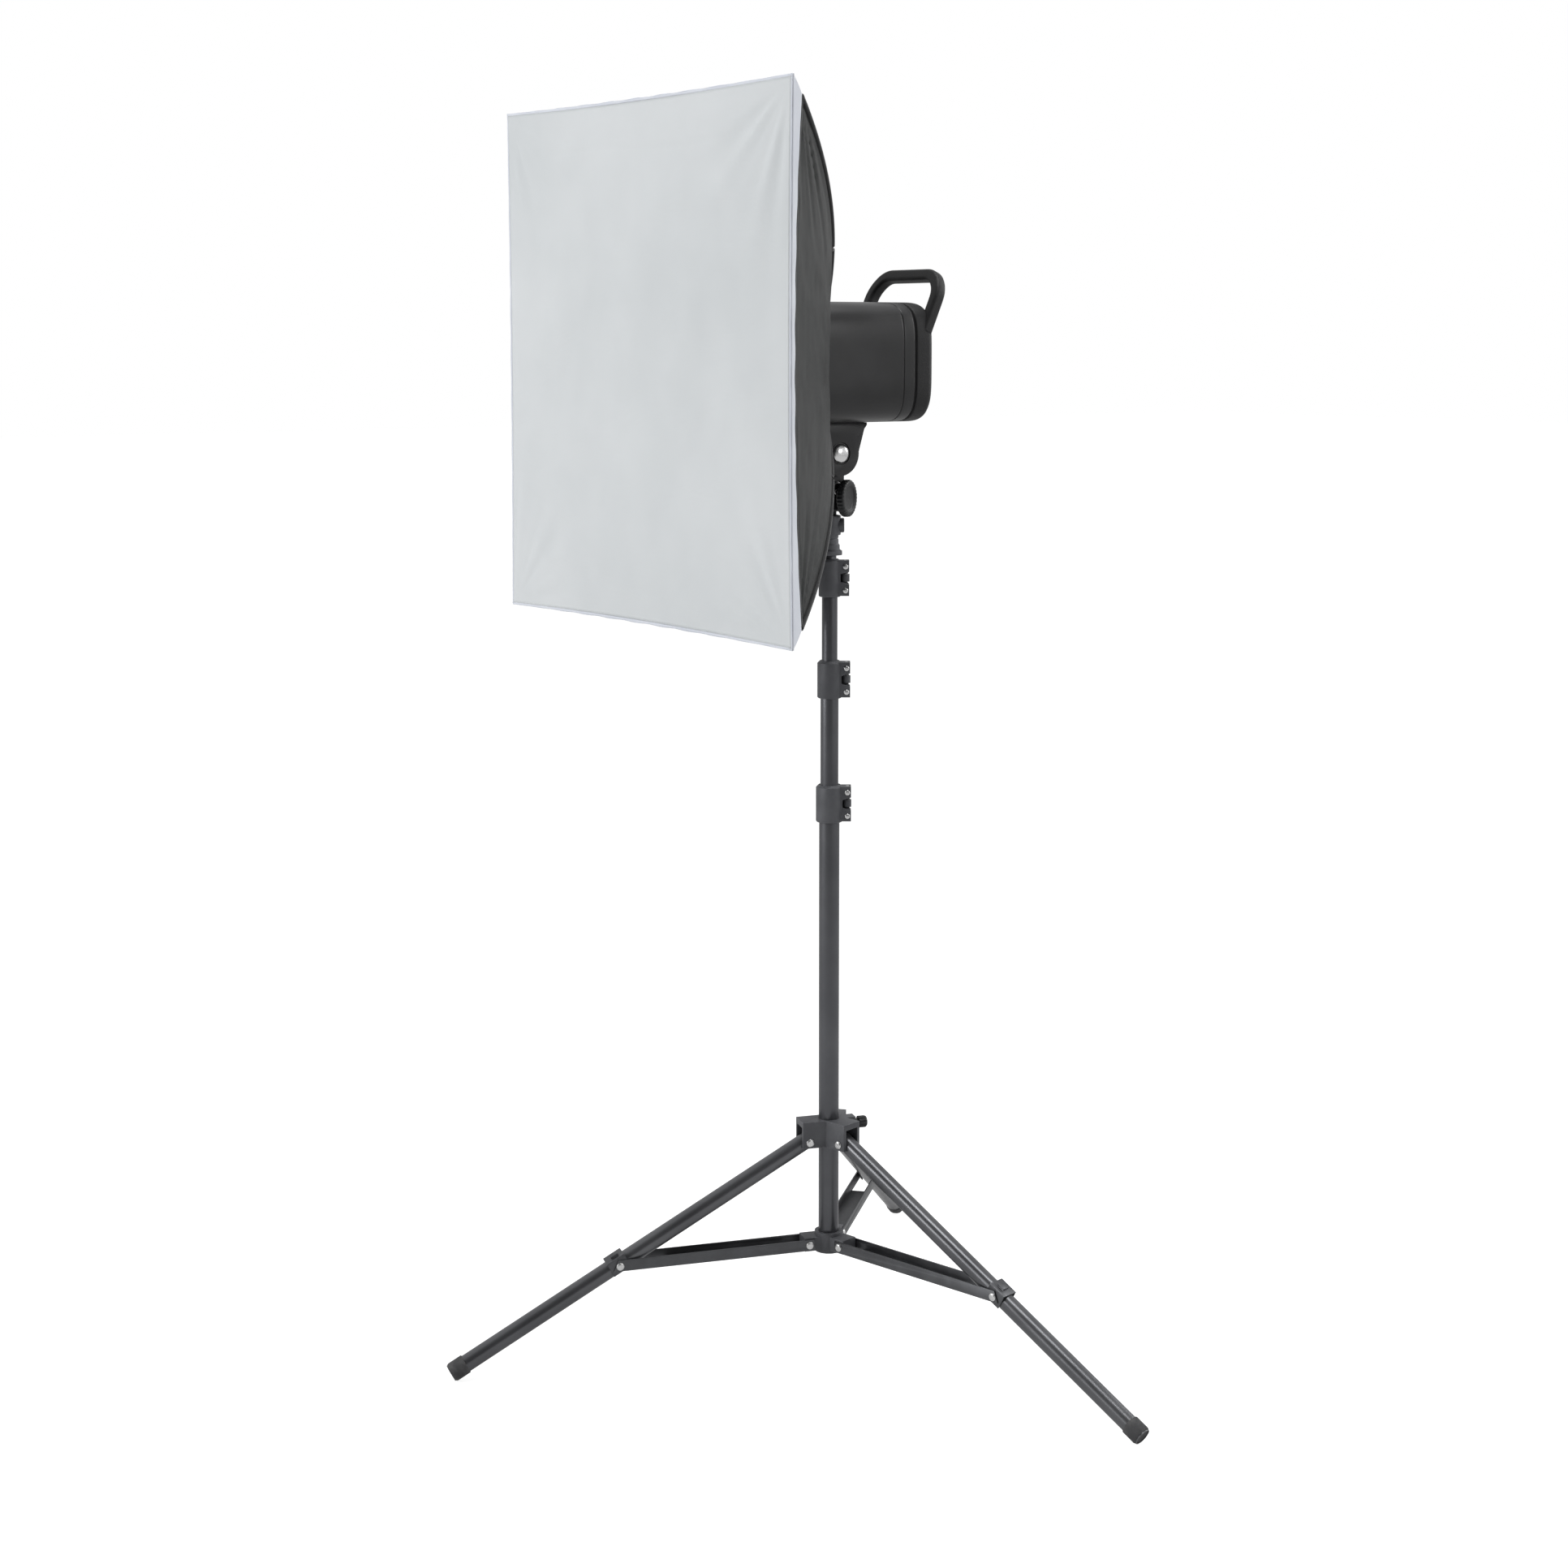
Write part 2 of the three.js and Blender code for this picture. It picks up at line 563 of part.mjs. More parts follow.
function makeInside() {
  place('lamp_mount_ring', ring(42, 50, lampFront - 8, lampFront - gap, 'y', 24), finishes.aluminium(), lamp);
  const latch = boxBetween([-7, 7], [lampFront - 8, lampFront - 4], [50.6, 58]);
  place('mount_latch', latch, finishes.blackPlastic(), lamp);

  const chip = turned([[0, -60], [13, -60], [14, -58.5], [14, -57], [30, -57], [30, -55.4], [0, -55.4]], 'y', 24);
  place('led_module', chip, finishes.phosphor(), lamp);

  const base = boxBetween([-45, 45], [-55, -49], [-45, 45]);
  const fins = Array.from({ length: 11 }, (_, i) => boxBetween([-45 + i * 8.7, -42 + i * 8.7], [-50, 14], [-45, 45]));
  place('heat_sink', joined(base, ...fins), finishes.aluminium(), lamp);

  const frame = cut(boxBetween([-42, 42], [18, 38], [-42, 42]), rod(39, 10, 50, 'y', 24));
  const spokes = [0, 1, 2].map((i) => boxBetween([0, 40.5], [34.5, 37], [-2, 2]).rotateY(degrees(30 + 120 * i)));
  const bearing = ring(2.4, 12, 34.5, 37, 'y', 20);
  const spindleBore = rod(2.4, 0, 60, 'y', 12);
  place('fan_frame', cut(joined(frame, ...spokes, bearing), spindleBore), finishes.blackPlastic(), lamp);

  const blades = Array.from({ length: 7 }, (_, i) => boxBetween([10, 36], [-1, 1], [-8, 8])
    .rotateX(degrees(40)).translate(0, 26, 0).rotateY(degrees((i * 360) / 7)));
  const hub = turned([[0, 20], [14, 20], [14, 33], [2, 33], [2, 37], [0, 37]], 'y', 20);
  place('fan_rotor', joined(hub, ...blades), finishes.blackPlastic(), lamp);

  const sheet = boxBetween([-50, 50], [44, 45.6], [-50, 50]);
  const parts = [[-36, -10, 18, 26], [4, 30, 12, -6], [-30, 6, 16, -28], [24, 42, 14, 30]].map(([x0, x1, tall, z]) =>
    boxBetween([x0, x1], [45, 45.6 + tall], [z - 9, z + 9]));
  place('driver_board', joined(sheet, ...parts), finishes.board(), lamp);
}

makeReceiver();
makeTiltBracket();
makeTiltBolt();
makeHousing();
makeRearPanel();
makeHandle();
makeInside();

// ---------------------------------------------------------------- softbox
const ringFront = -75;
const ringRear = lampFront - 8 - gap;

// Half width of the skin's corners, by the distance t behind the front plane: a bowed rod's line.
const rodLine = new THREE.CubicBezierCurve(
  new THREE.Vector2(0, faceHalf), new THREE.Vector2(78, 244),
  new THREE.Vector2(165, 168), new THREE.Vector2(-faceY + skinRear, 74),
);

function cornerHalf(t) {
  let [low, high] = [0, 1];
  for (let step = 0; step < 40; step += 1) {
    const middle = (low + high) / 2;
    if (rodLine.getPoint(middle).x < t) low = middle;
    else high = middle;
  }
  return rodLine.getPoint((low + high) / 2).y;
}

// How far the cloth is pulled in midway between two corners.
const pullIn = (t) => 10 * Math.sin(Math.PI * Math.min(1, (t + 12) / (-faceY + skinRear + 40)) ** 0.6);

// A cloth wall carried round the four sides between two depths, closed at both ends.
function clothWall(fromT, toT, levels, perSide = 6) {
  const depths = Array.from({ length: levels + 1 }, (_, i) => fromT + ((toT - fromT) * i) / levels);
  const loops = [...depths.map((t) => [t, 0]), ...depths.reverse().map((t) => [t, skinThickness])];
  const around = 4 * perSide;
  const vertices = [];
  const index = [];
  loops.forEach(([t, inward], i) => {
    const half = cornerHalf(t) - inward;
    const next = (i + 1) % loops.length;
    for (let j = 0; j < around; j += 1) {
      const side = Math.floor(j / perSide);
      const along = ((j % perSide) / perSide) * 2 - 1;
      const out = half - pullIn(t) * (1 - along * along);
      const point = new THREE.Vector3(out, faceY + t, along * half);
      vertices.push(...point.applyAxisAngle(unitY, (-side * Math.PI) / 2));
      const [a, b] = [i * around + j, i * around + ((j + 1) % around)];
      const [c, d] = [next * around + j, next * around + ((j + 1) % around)];
      index.push(a, b, d, a, d, c);
    }
  });
  const geometry = new THREE.BufferGeometry();
  geometry.setAttribute('position', new THREE.Float32BufferAttribute(vertices, 3));
  geometry.setIndex(index);
  return geometry;
}

const quarters = [45, 135, 225, 315];

function makeSpeedRing() {
  const flange = ring(44, 60, ringFront, ringRear, 'y', 24);
  const sockets = quarters.map((angle) =>
    boxBetween([54, 88], [ringFront, ringRear], [-8, 8]).rotateY(degrees(angle)));
  const rodBores = quarters.map((angle) => boxBetween([76, 100], [ringFront + 1.5, 0], [-3, 3]).rotateY(degrees(angle)));
  place('speed_ring', cut(joined(flange, ...sockets), rod(44, -120, 0, 'y', 24), ...rodBores), finishes.blackMetal(), lamp);
}

// Each rod runs in a corner of the skin, from its socket to the front corner.
function makeRods() {
  const rodRadius = 2;
  const inset = skinThickness + 5.5;
  const stations = [6, 30, 60, 95, 130, 160, 185, -faceY + ringFront + 4.5];
  quarters.forEach((angle, k) => {
    const points = stations.map((t) => {
      const out = (cornerHalf(t) - inset) * Math.SQRT2;
      return new THREE.Vector3(out, faceY + t, 0);
    });
    const path = new THREE.CatmullRomCurve3(points);
    const section = new THREE.Shape().absarc(0, 0, rodRadius, 0, Math.PI * 2);
    const wire = new THREE.ExtrudeGeometry(section, { extrudePath: path, steps: 14, curveSegments: 3, bevelEnabled: false });
    place(`rod_${k + 1}`, wire.rotateY(degrees(angle)), finishes.steel(), lamp);
  });
}

function makeCloth() {
  place('softbox_shell', clothWall(rimDepth + gap, -faceY + skinRear, 8), finishes.blackCloth(), lamp);
  place('diffuser_rim', clothWall(0, rimDepth, 2), finishes.rimCloth(), lamp);
  const half = faceHalf - skinThickness - 7.8;
  const sheet = boxBetween([-half, half], [faceY, faceY + 2], [-half, half]);
  place('diffuser', sheet, finishes.whiteCloth(), lamp);
}

makeSpeedRing();
makeRods();
makeCloth();

// ---------------------------------------------------------------- origin under the middle of the whole object
softbox.updateMatrixWorld(true);
const extent = new THREE.Box3().setFromObject(softbox, true);
const middle = extent.getCenter(new THREE.Vector3());
model.position.set(-middle.x, -middle.y, -extent.min.z);
softbox.updateMatrixWorld(true);

export default softbox;
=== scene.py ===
import bpy, bmesh, math
import numpy as np
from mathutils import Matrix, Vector


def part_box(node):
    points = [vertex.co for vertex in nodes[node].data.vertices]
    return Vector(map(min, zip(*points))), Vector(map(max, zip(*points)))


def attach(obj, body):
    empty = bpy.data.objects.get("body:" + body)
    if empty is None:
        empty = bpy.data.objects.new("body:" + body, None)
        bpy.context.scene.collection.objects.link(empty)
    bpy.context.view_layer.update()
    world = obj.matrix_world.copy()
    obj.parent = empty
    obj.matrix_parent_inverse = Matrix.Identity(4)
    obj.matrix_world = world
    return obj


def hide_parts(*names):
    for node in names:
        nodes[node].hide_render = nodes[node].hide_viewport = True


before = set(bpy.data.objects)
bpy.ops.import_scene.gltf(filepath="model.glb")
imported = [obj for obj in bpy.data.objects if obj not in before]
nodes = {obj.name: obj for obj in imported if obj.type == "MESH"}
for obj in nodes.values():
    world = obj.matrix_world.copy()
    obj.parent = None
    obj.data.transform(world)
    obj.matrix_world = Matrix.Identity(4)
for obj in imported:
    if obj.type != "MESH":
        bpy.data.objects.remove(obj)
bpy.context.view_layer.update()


def middleOf(node):
    low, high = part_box(node)
    return (low + high) / 2


column = middleOf("base_tube")  # the stand's axis, from the frame
lampCentre = middleOf("lamp_housing")
columnX, columnY = column.x, column.y
lampZ = lampCentre.z

# camera, first of all: level enough that the uprights stay parallel
cameraSetup = {
    "lens": 59.58, "place": (2.5295, -1.8550, 1.2424), "heading": 54.76, "down": 6.33, "shiftY": -0.10,
}


def makeCamera(setup):
    data = bpy.data.cameras.new("studioCamera")
    data.lens, data.sensor_width, data.shift_y = setup["lens"], 36.0, setup["shiftY"]
    data.clip_start, data.clip_end = 0.05, 60
    camera = bpy.data.objects.new("studioCamera", data)
    x, y, z = setup["place"]
    camera.location = (columnX + x, columnY + y, z)
    heading, down = math.radians(setup["heading"]), math.radians(setup["down"])
    look = Vector((-math.sin(heading) * math.cos(down), math.cos(heading) * math.cos(down), -math.sin(down)))
    camera.rotation_euler = look.to_track_quat("-Z", "Y").to_euler()
    bpy.context.scene.collection.objects.link(camera)
    bpy.context.scene.camera = camera


makeCamera(cameraSetup)
print("camera set")


# shader maths: a socket that can be added, multiplied and compared like a number
class Wave:
    def __init__(self, tree, socket):
        self.tree, self.socket = tree, socket

    def combine(self, operation, first, second=None, third=None):
        values = [v for v in (first, second, third) if v is not None]
        return self.tree.make("ShaderNodeMath", {"operation": operation}, dict(enumerate(values)))

    def __add__(self, other): return self.combine("ADD", self, other)
    def __radd__(self, other): return self.combine("ADD", other, self)
    def __sub__(self, other): return self.combine("SUBTRACT", self, other)
    def __rsub__(self, other): return self.combine("SUBTRACT", other, self)
    def __mul__(self, other): return self.combine("MULTIPLY", self, other)
    def __rmul__(self, other): return self.combine("MULTIPLY", other, self)
    def __abs__(self): return self.combine("ABSOLUTE", self)
    def sin(self): return self.combine("SINE", self)
    def clamp(self): return self.tree.make("ShaderNodeMath", {"operation": "ADD", "use_clamp": True},
                                           {0: self, 1: 0.0})

    def ramp(self, low, high):
        # 0 below low and 1 above high, straight between them
        return self.tree.make("ShaderNodeMapRange", {"interpolation_type": "SMOOTHSTEP"},
                              {"Value": self, "From Min": low, "From Max": high})


class Finish:
    # one material: its node tree, its Principled shader and the few nodes that every finish here uses
    def __init__(self, name, colour, roughness=0.5, metallic=0.0, **fixed):
        self.material = bpy.data.materials.new(name)
        self.material.use_nodes = True
        self.nodes, self.links = self.material.node_tree.nodes, self.material.node_tree.links
        self.shader = self.nodes["Principled BSDF"]
        self.material.diffuse_color = (*colour, 1)
        self.shader.inputs["Base Color"].default_value = (*colour, 1)
        self.shader.inputs["Roughness"].default_value = roughness
        self.shader.inputs["Metallic"].default_value = metallic
        for socket, value in fixed.items():
            self.shader.inputs[socket.replace("_", " ")].default_value = value

    def make(self, kind, settings=None, values=None, output=0):
        node = self.nodes.new(kind)
        for key, value in (settings or {}).items():
            setattr(node, key, value)
        for key, value in (values or {}).items():
            self.connect(value, node.inputs[key])
        return Wave(self, node.outputs[output])

    def connect(self, value, socket):
        if isinstance(value, Wave):
            self.links.new(value.socket, socket)
        elif isinstance(value, (tuple, list)) and socket.type == "RGBA":
            socket.default_value = (*value[:3], 1)
        else:
            socket.default_value = value

    def feed(self, **sockets):
        for name, value in sockets.items():
            self.connect(value, self.shader.inputs[name.replace("_", " ")])

    def place(self): return self.make("ShaderNodeTexCoord", output=3)
    def uv(self): return self.make("ShaderNodeTexCoord", output=2)

    def split(self, vector):
        node = self.nodes.new("ShaderNodeSeparateXYZ")
        self.connect(vector, node.inputs[0])
        return [Wave(self, out) for out in node.outputs]

    def noise(self, scale, detail=3.0, vector=None, rough=0.55, distortion=0.0):
        return self.make("ShaderNodeTexNoise", None, {
            "Vector": vector or self.place(), "Scale": scale, "Detail": detail,
            "Roughness": rough, "Distortion": distortion})

    def stretched(self, scale, vector=None):
        return self.make("ShaderNodeMapping", None, {"Vector": vector or self.place(), "Scale": scale})

    def mix(self, factor, first, second):
        node = self.nodes.new("ShaderNodeMix")
        node.data_type = "RGBA"
        self.connect(factor, node.inputs["Factor"])
        self.connect(first, node.inputs[6])
        self.connect(second, node.inputs[7])
        return Wave(self, node.outputs[2])

    def bump(self, height, strength, distance):
        normal = self.make("ShaderNodeBump", None, {"Height": height, "Strength": strength,
                                                    "Distance": distance})
        self.feed(Normal=normal)

    def edgeWear(self, radius):
        # brighter where two faces meet: the bevelled normal leaves the true one
        bevel = self.make("ShaderNodeBevel", {"samples": 4}, {"Radius": radius})
        true = self.make("ShaderNodeNewGeometry", output=1)
        same = self.make("ShaderNodeVectorMath", {"operation": "DOT_PRODUCT"}, {0: bevel, 1: true}, output=1)
        return (1 - same).ramp(0.02, 0.25)


# finishes
def castingFinish():
    # powder-coated grey casting: fine orange peel, dust in the pits, edges rubbed bright
    f = Finish("castingGrey", (0.09, 0.092, 0.10), 0.5, 0.25)
    peel, broad = f.noise(900, 4), f.noise(22, 4)
    worn = f.edgeWear(0.0006) * f.noise(160, 3).ramp(0.35, 0.7)
    colour = f.mix(broad.ramp(0.3, 0.75), (0.078, 0.080, 0.088), (0.120, 0.123, 0.133))
    f.feed(Base_Color=f.mix(worn, colour, (0.42, 0.43, 0.45)), Roughness=0.42 + broad * 0.2 - worn * 0.12)
    f.bump(peel + broad * 0.4, 0.22, 0.0003)
    return f.material


def tubeFinish(name, light, dark, along):
    # anodised tube: drawn lines along its length, a slow change of tone, faint rub marks
    f = Finish(name, light, 0.3, 0.75, Anisotropic=0.35)
    lines = f.noise(1.0, 4, f.stretched(along))
    broad, rub = f.noise(9, 4), f.noise(70, 5, rough=0.7)
    f.feed(Base_Color=f.mix(broad.ramp(0.25, 0.8), dark, light),
           Roughness=0.26 + lines * 0.06 + rub.ramp(0.5, 0.8) * 0.05)
    f.bump(lines, 0.04, 0.0001)
    return f.material


def steelFinish(name, colour, roughness, scale=500):
    f = Finish(name, colour, roughness, 1.0)
    fine, broad = f.noise(scale, 4), f.noise(40, 3)
    f.feed(Base_Color=f.mix(broad.ramp(0.3, 0.8), tuple(c * 0.82 for c in colour), colour),
           Roughness=roughness + fine * 0.12 + broad.ramp(0.5, 0.8) * 0.08)
    f.bump(fine, 0.08, 0.0001)
    return f.material


def moulded(name, colour, roughness=0.48, grain=1400, depth=0.35):
    # moulded plastic: pebble grain, lighter rubbed corners, a little dust
    f = Finish(name, colour, roughness, 0.0, Specular_IOR_Level=0.45)
    cells = f.make("ShaderNodeTexVoronoi", {"feature": "SMOOTH_F1"},
                   {"Vector": f.place(), "Scale": grain, "Smoothness": 0.6})
    broad = f.noise(30, 4)
    worn = f.edgeWear(0.0008) * broad.ramp(0.35, 0.7)
    colour2 = tuple(c * 1.5 + 0.006 for c in colour)
    f.feed(Base_Color=f.mix((broad.ramp(0.4, 0.85) * 0.5 + worn * 0.5).clamp(), colour, colour2),
           Roughness=roughness - 0.05 + broad * 0.16 - worn * 0.1)
    f.bump(cells + f.noise(260, 3) * 0.3, depth, 0.00025)
    return f.material


def lampPaint():
    # satin black paint over aluminium, with a very fine texture
    f = Finish("lampPaint", (0.018, 0.018, 0.02), 0.36, 0.0, Coat_Roughness=0.3, Specular_IOR_Level=0.5)
    fine, broad = f.noise(2200, 2), f.noise(14, 4)
    worn = f.edgeWear(0.0007) * f.noise(120, 3).ramp(0.4, 0.75)
    f.feed(Base_Color=f.mix(worn, f.mix(broad.ramp(0.3, 0.8), (0.006, 0.006, 0.007), (0.013, 0.013, 0.015)),
                            (0.11, 0.11, 0.115)),
           Roughness=0.30 + broad * 0.14 + fine * 0.06, Coat_Weight=0.15 + broad * 0.1)
    f.bump(fine, 0.12, 0.0002)
    return f.material


def rubberFinish():
    f = Finish("footRubber", (0.05, 0.05, 0.052), 0.75)
    broad, fine = f.noise(60, 5), f.noise(900, 3)
    f.feed(Base_Color=f.mix(broad.ramp(0.4, 0.8), (0.05, 0.05, 0.053), (0.13, 0.13, 0.13)),
           Roughness=0.65 + broad * 0.25)
    f.bump(fine + broad * 0.5, 0.3, 0.0003)
    return f.material


threadScale = 5200.0  # radians of weave per metre of cloth


def weave(f):
    # plain weave from two crossed sets of threads, one over and one under in turn
    u, v, _ = f.split(f.uv())
    warp, weft = (u * threadScale).sin(), (v * threadScale).sin()
    over = warp * weft
    return abs(warp) * (0.5 + over * 0.5) + abs(weft) * (0.5 - over * 0.5)


def blackClothFinish():
    # coated nylon: tight weave, a dull sheen, slight green-grey cast and creases that catch the light
    f = Finish("blackNylon", (0.012, 0.014, 0.014), 0.5, 0.0, Sheen_Weight=0.05, Sheen_Roughness=0.4,
               Specular_IOR_Level=0.4)
    threads = weave(f)
    broad, crumple = f.noise(6, 5), f.noise(28, 6, rough=0.6, distortion=0.8)
    f.feed(Base_Color=f.mix(broad.ramp(0.25, 0.8), (0.003, 0.0042, 0.0042), (0.0105, 0.0132, 0.0125)),
           Roughness=0.42 + broad * 0.16 + threads * 0.06)
    f.bump(threads * 0.12 + crumple, 0.35, 0.0022)
    return f.material


def whiteClothFinish():
    # diffusion cloth: fine weave, faint cloudiness, and soft folds pressed in when it was packed
    f = Finish("diffusionCloth", (0.67, 0.70, 0.72), 0.75, 0.0, Sheen_Weight=0.15, Sheen_Roughness=0.6,
               Specular_IOR_Level=0.25)
    threads = weave(f)
    cloud, fold = f.noise(3.2, 4), f.noise(7, 5, f.stretched((1.0, 1.0, 2.2)), distortion=0.6)
    f.feed(Base_Color=f.mix(cloud.ramp(0.25, 0.8), (0.625, 0.655, 0.67), (0.715, 0.74, 0.755)),
           Roughness=0.68 + threads * 0.08)
    f.bump(threads * 0.06 + fold, 0.60, 0.0026)
    return f.material


def bandFinish(name, colour, dark):
    # narrow woven band: ribs across it and a soft worn tone
    f = Finish(name, colour, 0.7, 0.0, Sheen_Weight=0.3, Sheen_Roughness=0.5, Specular_IOR_Level=0.3)
    u, v, _ = f.split(f.uv())
    ribs = abs((v * 2600.0).sin())
    broad = f.noise(20, 4)
    f.feed(Base_Color=f.mix(broad.ramp(0.3, 0.8), dark, colour), Roughness=0.6 + ribs * 0.15)
    f.bump(ribs * 0.3 + broad, 0.35, 0.0006)
    return f.material


def boardFinish():
    f = Finish("solderMask", (0.012, 0.09, 0.04), 0.4)
    tracks = f.make("ShaderNodeTexBrick", None, {"Vector": f.stretched((90, 1, 90)), "Scale": 1.0})
    f.feed(Base_Color=f.mix(tracks, (0.01, 0.075, 0.03), (0.02, 0.14, 0.06)),
           Roughness=0.35 + f.noise(300) * 0.2)
    return f.material


def phosphorFinish():
    f = Finish("phosphorGel", (0.8, 0.55, 0.06), 0.45)
    dots = f.make("ShaderNodeTexVoronoi", None, {"Vector": f.place(), "Scale": 480})
    f.feed(Base_Color=f.mix(dots.ramp(0.1, 0.5), (0.85, 0.6, 0.08), (0.6, 0.4, 0.03)),
           Roughness=0.35 + dots * 0.3)
    return f.material


def displayFinish():
    f = Finish("displayGlass", (0.006, 0.008, 0.01), 0.08, 0.0, Coat_Weight=0.6)
    smear = f.noise(35, 5, rough=0.7)
    f.feed(Roughness=0.05 + smear.ramp(0.45, 0.8) * 0.18,
           Base_Color=f.mix(smear, (0.005, 0.007, 0.009), (0.012, 0.015, 0.018)))
    return f.material


finishes = {
    "casting": castingFinish(),
    "tube": tubeFinish("tubeGrey", (0.150, 0.153, 0.163), (0.105, 0.107, 0.116), (900, 900, 3)),
    "legTube": tubeFinish("legGrey", (0.165, 0.168, 0.176), (0.120, 0.122, 0.130), (120, 120, 120)),
    "steel": steelFinish("polishedSteel", (0.78, 0.78, 0.79), 0.2),
    "braceSheet": steelFinish("greySheet", (0.145, 0.148, 0.156), 0.36, 260),
    "rivet": steelFinish("nickelRivet", (0.88, 0.88, 0.88), 0.24),
    "aluminium": steelFinish("machinedAluminium", (0.66, 0.665, 0.68), 0.3, 800),
    "plastic": moulded("blackPlastic", (0.009, 0.009, 0.010)),
    "bezelPlastic": moulded("bezelPlastic", (0.008, 0.008, 0.009), 0.52, 900, 0.5),
    "knobPlastic": moulded("knobPlastic", (0.010, 0.0105, 0.012), 0.4),
    "lampPaint": lampPaint(),
    "rubber": rubberFinish(),
    "blackCloth": blackClothFinish(),
    "whiteCloth": whiteClothFinish(),
    "whiteBand": bandFinish("whiteBand", (0.74, 0.77, 0.83), (0.66, 0.69, 0.76)),
    "blackBand": bandFinish("blackBand", (0.02, 0.021, 0.022), (0.012, 0.012, 0.013)),
    "board": boardFinish(),
    "phosphor": phosphorFinish(),
    "display": displayFinish(),
}
print("finishes made:", len(finishes))


# surfaces on a grid
def gridPiece(name, points, finish, body, replaced=(), closedAcross=True, closedAlong=False,
              caps=False, uv=None, smooth=True):
    # points is a (rows, columns, 3) array in metres: neighbours in it make the faces
    rows, columns = points.shape[:2]
    index = np.arange(rows * columns).reshape(rows, columns)
    right = np.roll(index, -1, 1) if closedAcross else index[:, 1:]
    here = index if closedAcross else index[:, :-1]
    down, downRight = np.roll(here, -1, 0), np.roll(right, -1, 0)
    keep = slice(None) if closedAlong else slice(0, -1)
    quads = np.stack([here[keep], right[keep], downRight[keep], down[keep]], -1).reshape(-1, 4)
    mesh = bpy.data.meshes.new(name)
    faces = [list(q) for q in quads.tolist()]
    if caps:
        faces += [index[0][::-1].tolist(), index[-1].tolist()]
    mesh.from_pydata(points.reshape(-1, 3).tolist(), [], faces)
    if uv is not None:
        layer = mesh.uv_layers.new(name="UVMap")
        corner = np.empty(len(mesh.loops), dtype=np.int32)
        mesh.loops.foreach_get("vertex_index", corner)
        layer.data.foreach_set("uv", uv.reshape(-1, 2)[corner].astype(np.float32).ravel())
    tidyMesh(mesh)
    return finishPiece(name, mesh, finish, body, replaced, smooth)


def tidyMesh(mesh):
    # doubles merged and faces turned outwards
    work = bmesh.new()
    work.from_mesh(mesh)
    bmesh.ops.remove_doubles(work, verts=work.verts, dist=2e-6)
    bmesh.ops.recalc_face_normals(work, faces=work.faces)
    work.to_mesh(mesh)
    work.free()


def finishPiece(name, mesh, finish, body, replaced=(), smooth=True, sharp=34):
    piece = bpy.data.objects.new(name, mesh)
    bpy.context.scene.collection.objects.link(piece)
    mesh.materials.clear()
    mesh.materials.append(finishes[finish])
    if smooth:
        mesh.polygons.foreach_set("use_smooth", [True] * len(mesh.polygons))
        mesh.set_sharp_from_angle(angle=math.radians(sharp))
    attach(piece, body)
    if replaced:
        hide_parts(*replaced)
    return piece


def roundProfile(profile, radius=0.0006, steps=4):
    # each corner of a closed outline is rounded: a short arc between points set back along its two sides
    points = np.asarray(profile, float)
    before, after = np.roll(points, 1, 0) - points, np.roll(points, -1, 0) - points
    lengthBefore = np.linalg.norm(before, axis=1, keepdims=True) + 1e-12
    lengthAfter = np.linalg.norm(after, axis=1, keepdims=True) + 1e-12
    set1 = np.minimum(radius, 0.45 * lengthBefore)
    set2 = np.minimum(radius, 0.45 * lengthAfter)
    start, end = points + before / lengthBefore * set1, points + after / lengthAfter * set2
    t = np.linspace(0, 1, steps)[None, :, None]
    arcs = (1 - t) ** 2 * start[:, None] + 2 * t * (1 - t) * points[:, None] + t ** 2 * end[:, None]
    return arcs.reshape(-1, 2)


def turned(profile, centre, axis=(0, 0, 1), sides=64, radius=0.0006, squareness=None, ripple=None):
    # a closed outline of (distance from the axis, place along it) turned round the axis through centre
    outline = roundProfile(profile, radius)
    outline[:, 0] = np.maximum(outline[:, 0], 1e-5)
    angle = np.linspace(0, 2 * math.pi, sides, endpoint=False)
    axis = Vector(axis).normalized()
    sideways = axis.orthogonal().normalized() if squareness is None else Vector((1, 0, 0))
    across = axis.cross(sideways)
    stretch = np.ones(sides)
    if squareness:
        stretch = (abs(np.cos(angle)) ** squareness + abs(np.sin(angle)) ** squareness) ** (-1 / squareness)
    reach = outline[:, 0][:, None] * stretch[None, :]
    if ripple:
        count, depth, lowest = ripple
        gripped = outline[:, 0][:, None] > lowest
        reach = reach - gripped * depth * (0.5 + 0.5 * np.cos(angle * count))[None, :]
    a, b, c = np.array(axis), np.array(sideways), np.array(across)
    return (np.array(centre)[None, None]
            + reach[..., None] * (np.cos(angle)[None, :, None] * b + np.sin(angle)[None, :, None] * c)
            + outline[:, 1][:, None, None] * a)


def refined(name, node, finish, body, bevel=0.0007, segments=2, reshape=None):
    # the CAD node's own shape with merged faces, rounded edges and smooth shading
    mesh = nodes[node].data.copy()
    work = bmesh.new()
    work.from_mesh(mesh)
    bmesh.ops.remove_doubles(work, verts=work.verts, dist=2e-5)
    bmesh.ops.dissolve_limit(work, angle_limit=math.radians(1.0), verts=work.verts, edges=work.edges)
    work.to_mesh(mesh)
    work.free()
    mesh.name = name
    if reshape:
        points = np.empty(len(mesh.vertices) * 3, dtype=np.float32)
        mesh.vertices.foreach_get("co", points)
        mesh.vertices.foreach_set("co", reshape(points.reshape(-1, 3)).ravel())
    piece = finishPiece(name, mesh, finish, body, (node,), smooth=True, sharp=180)
    rounding = piece.modifiers.new("roundedEdges", "BEVEL")
    rounding.width, rounding.segments, rounding.limit_method = bevel, segments, "ANGLE"
    rounding.angle_limit, rounding.harden_normals = math.radians(30), True
    return piece


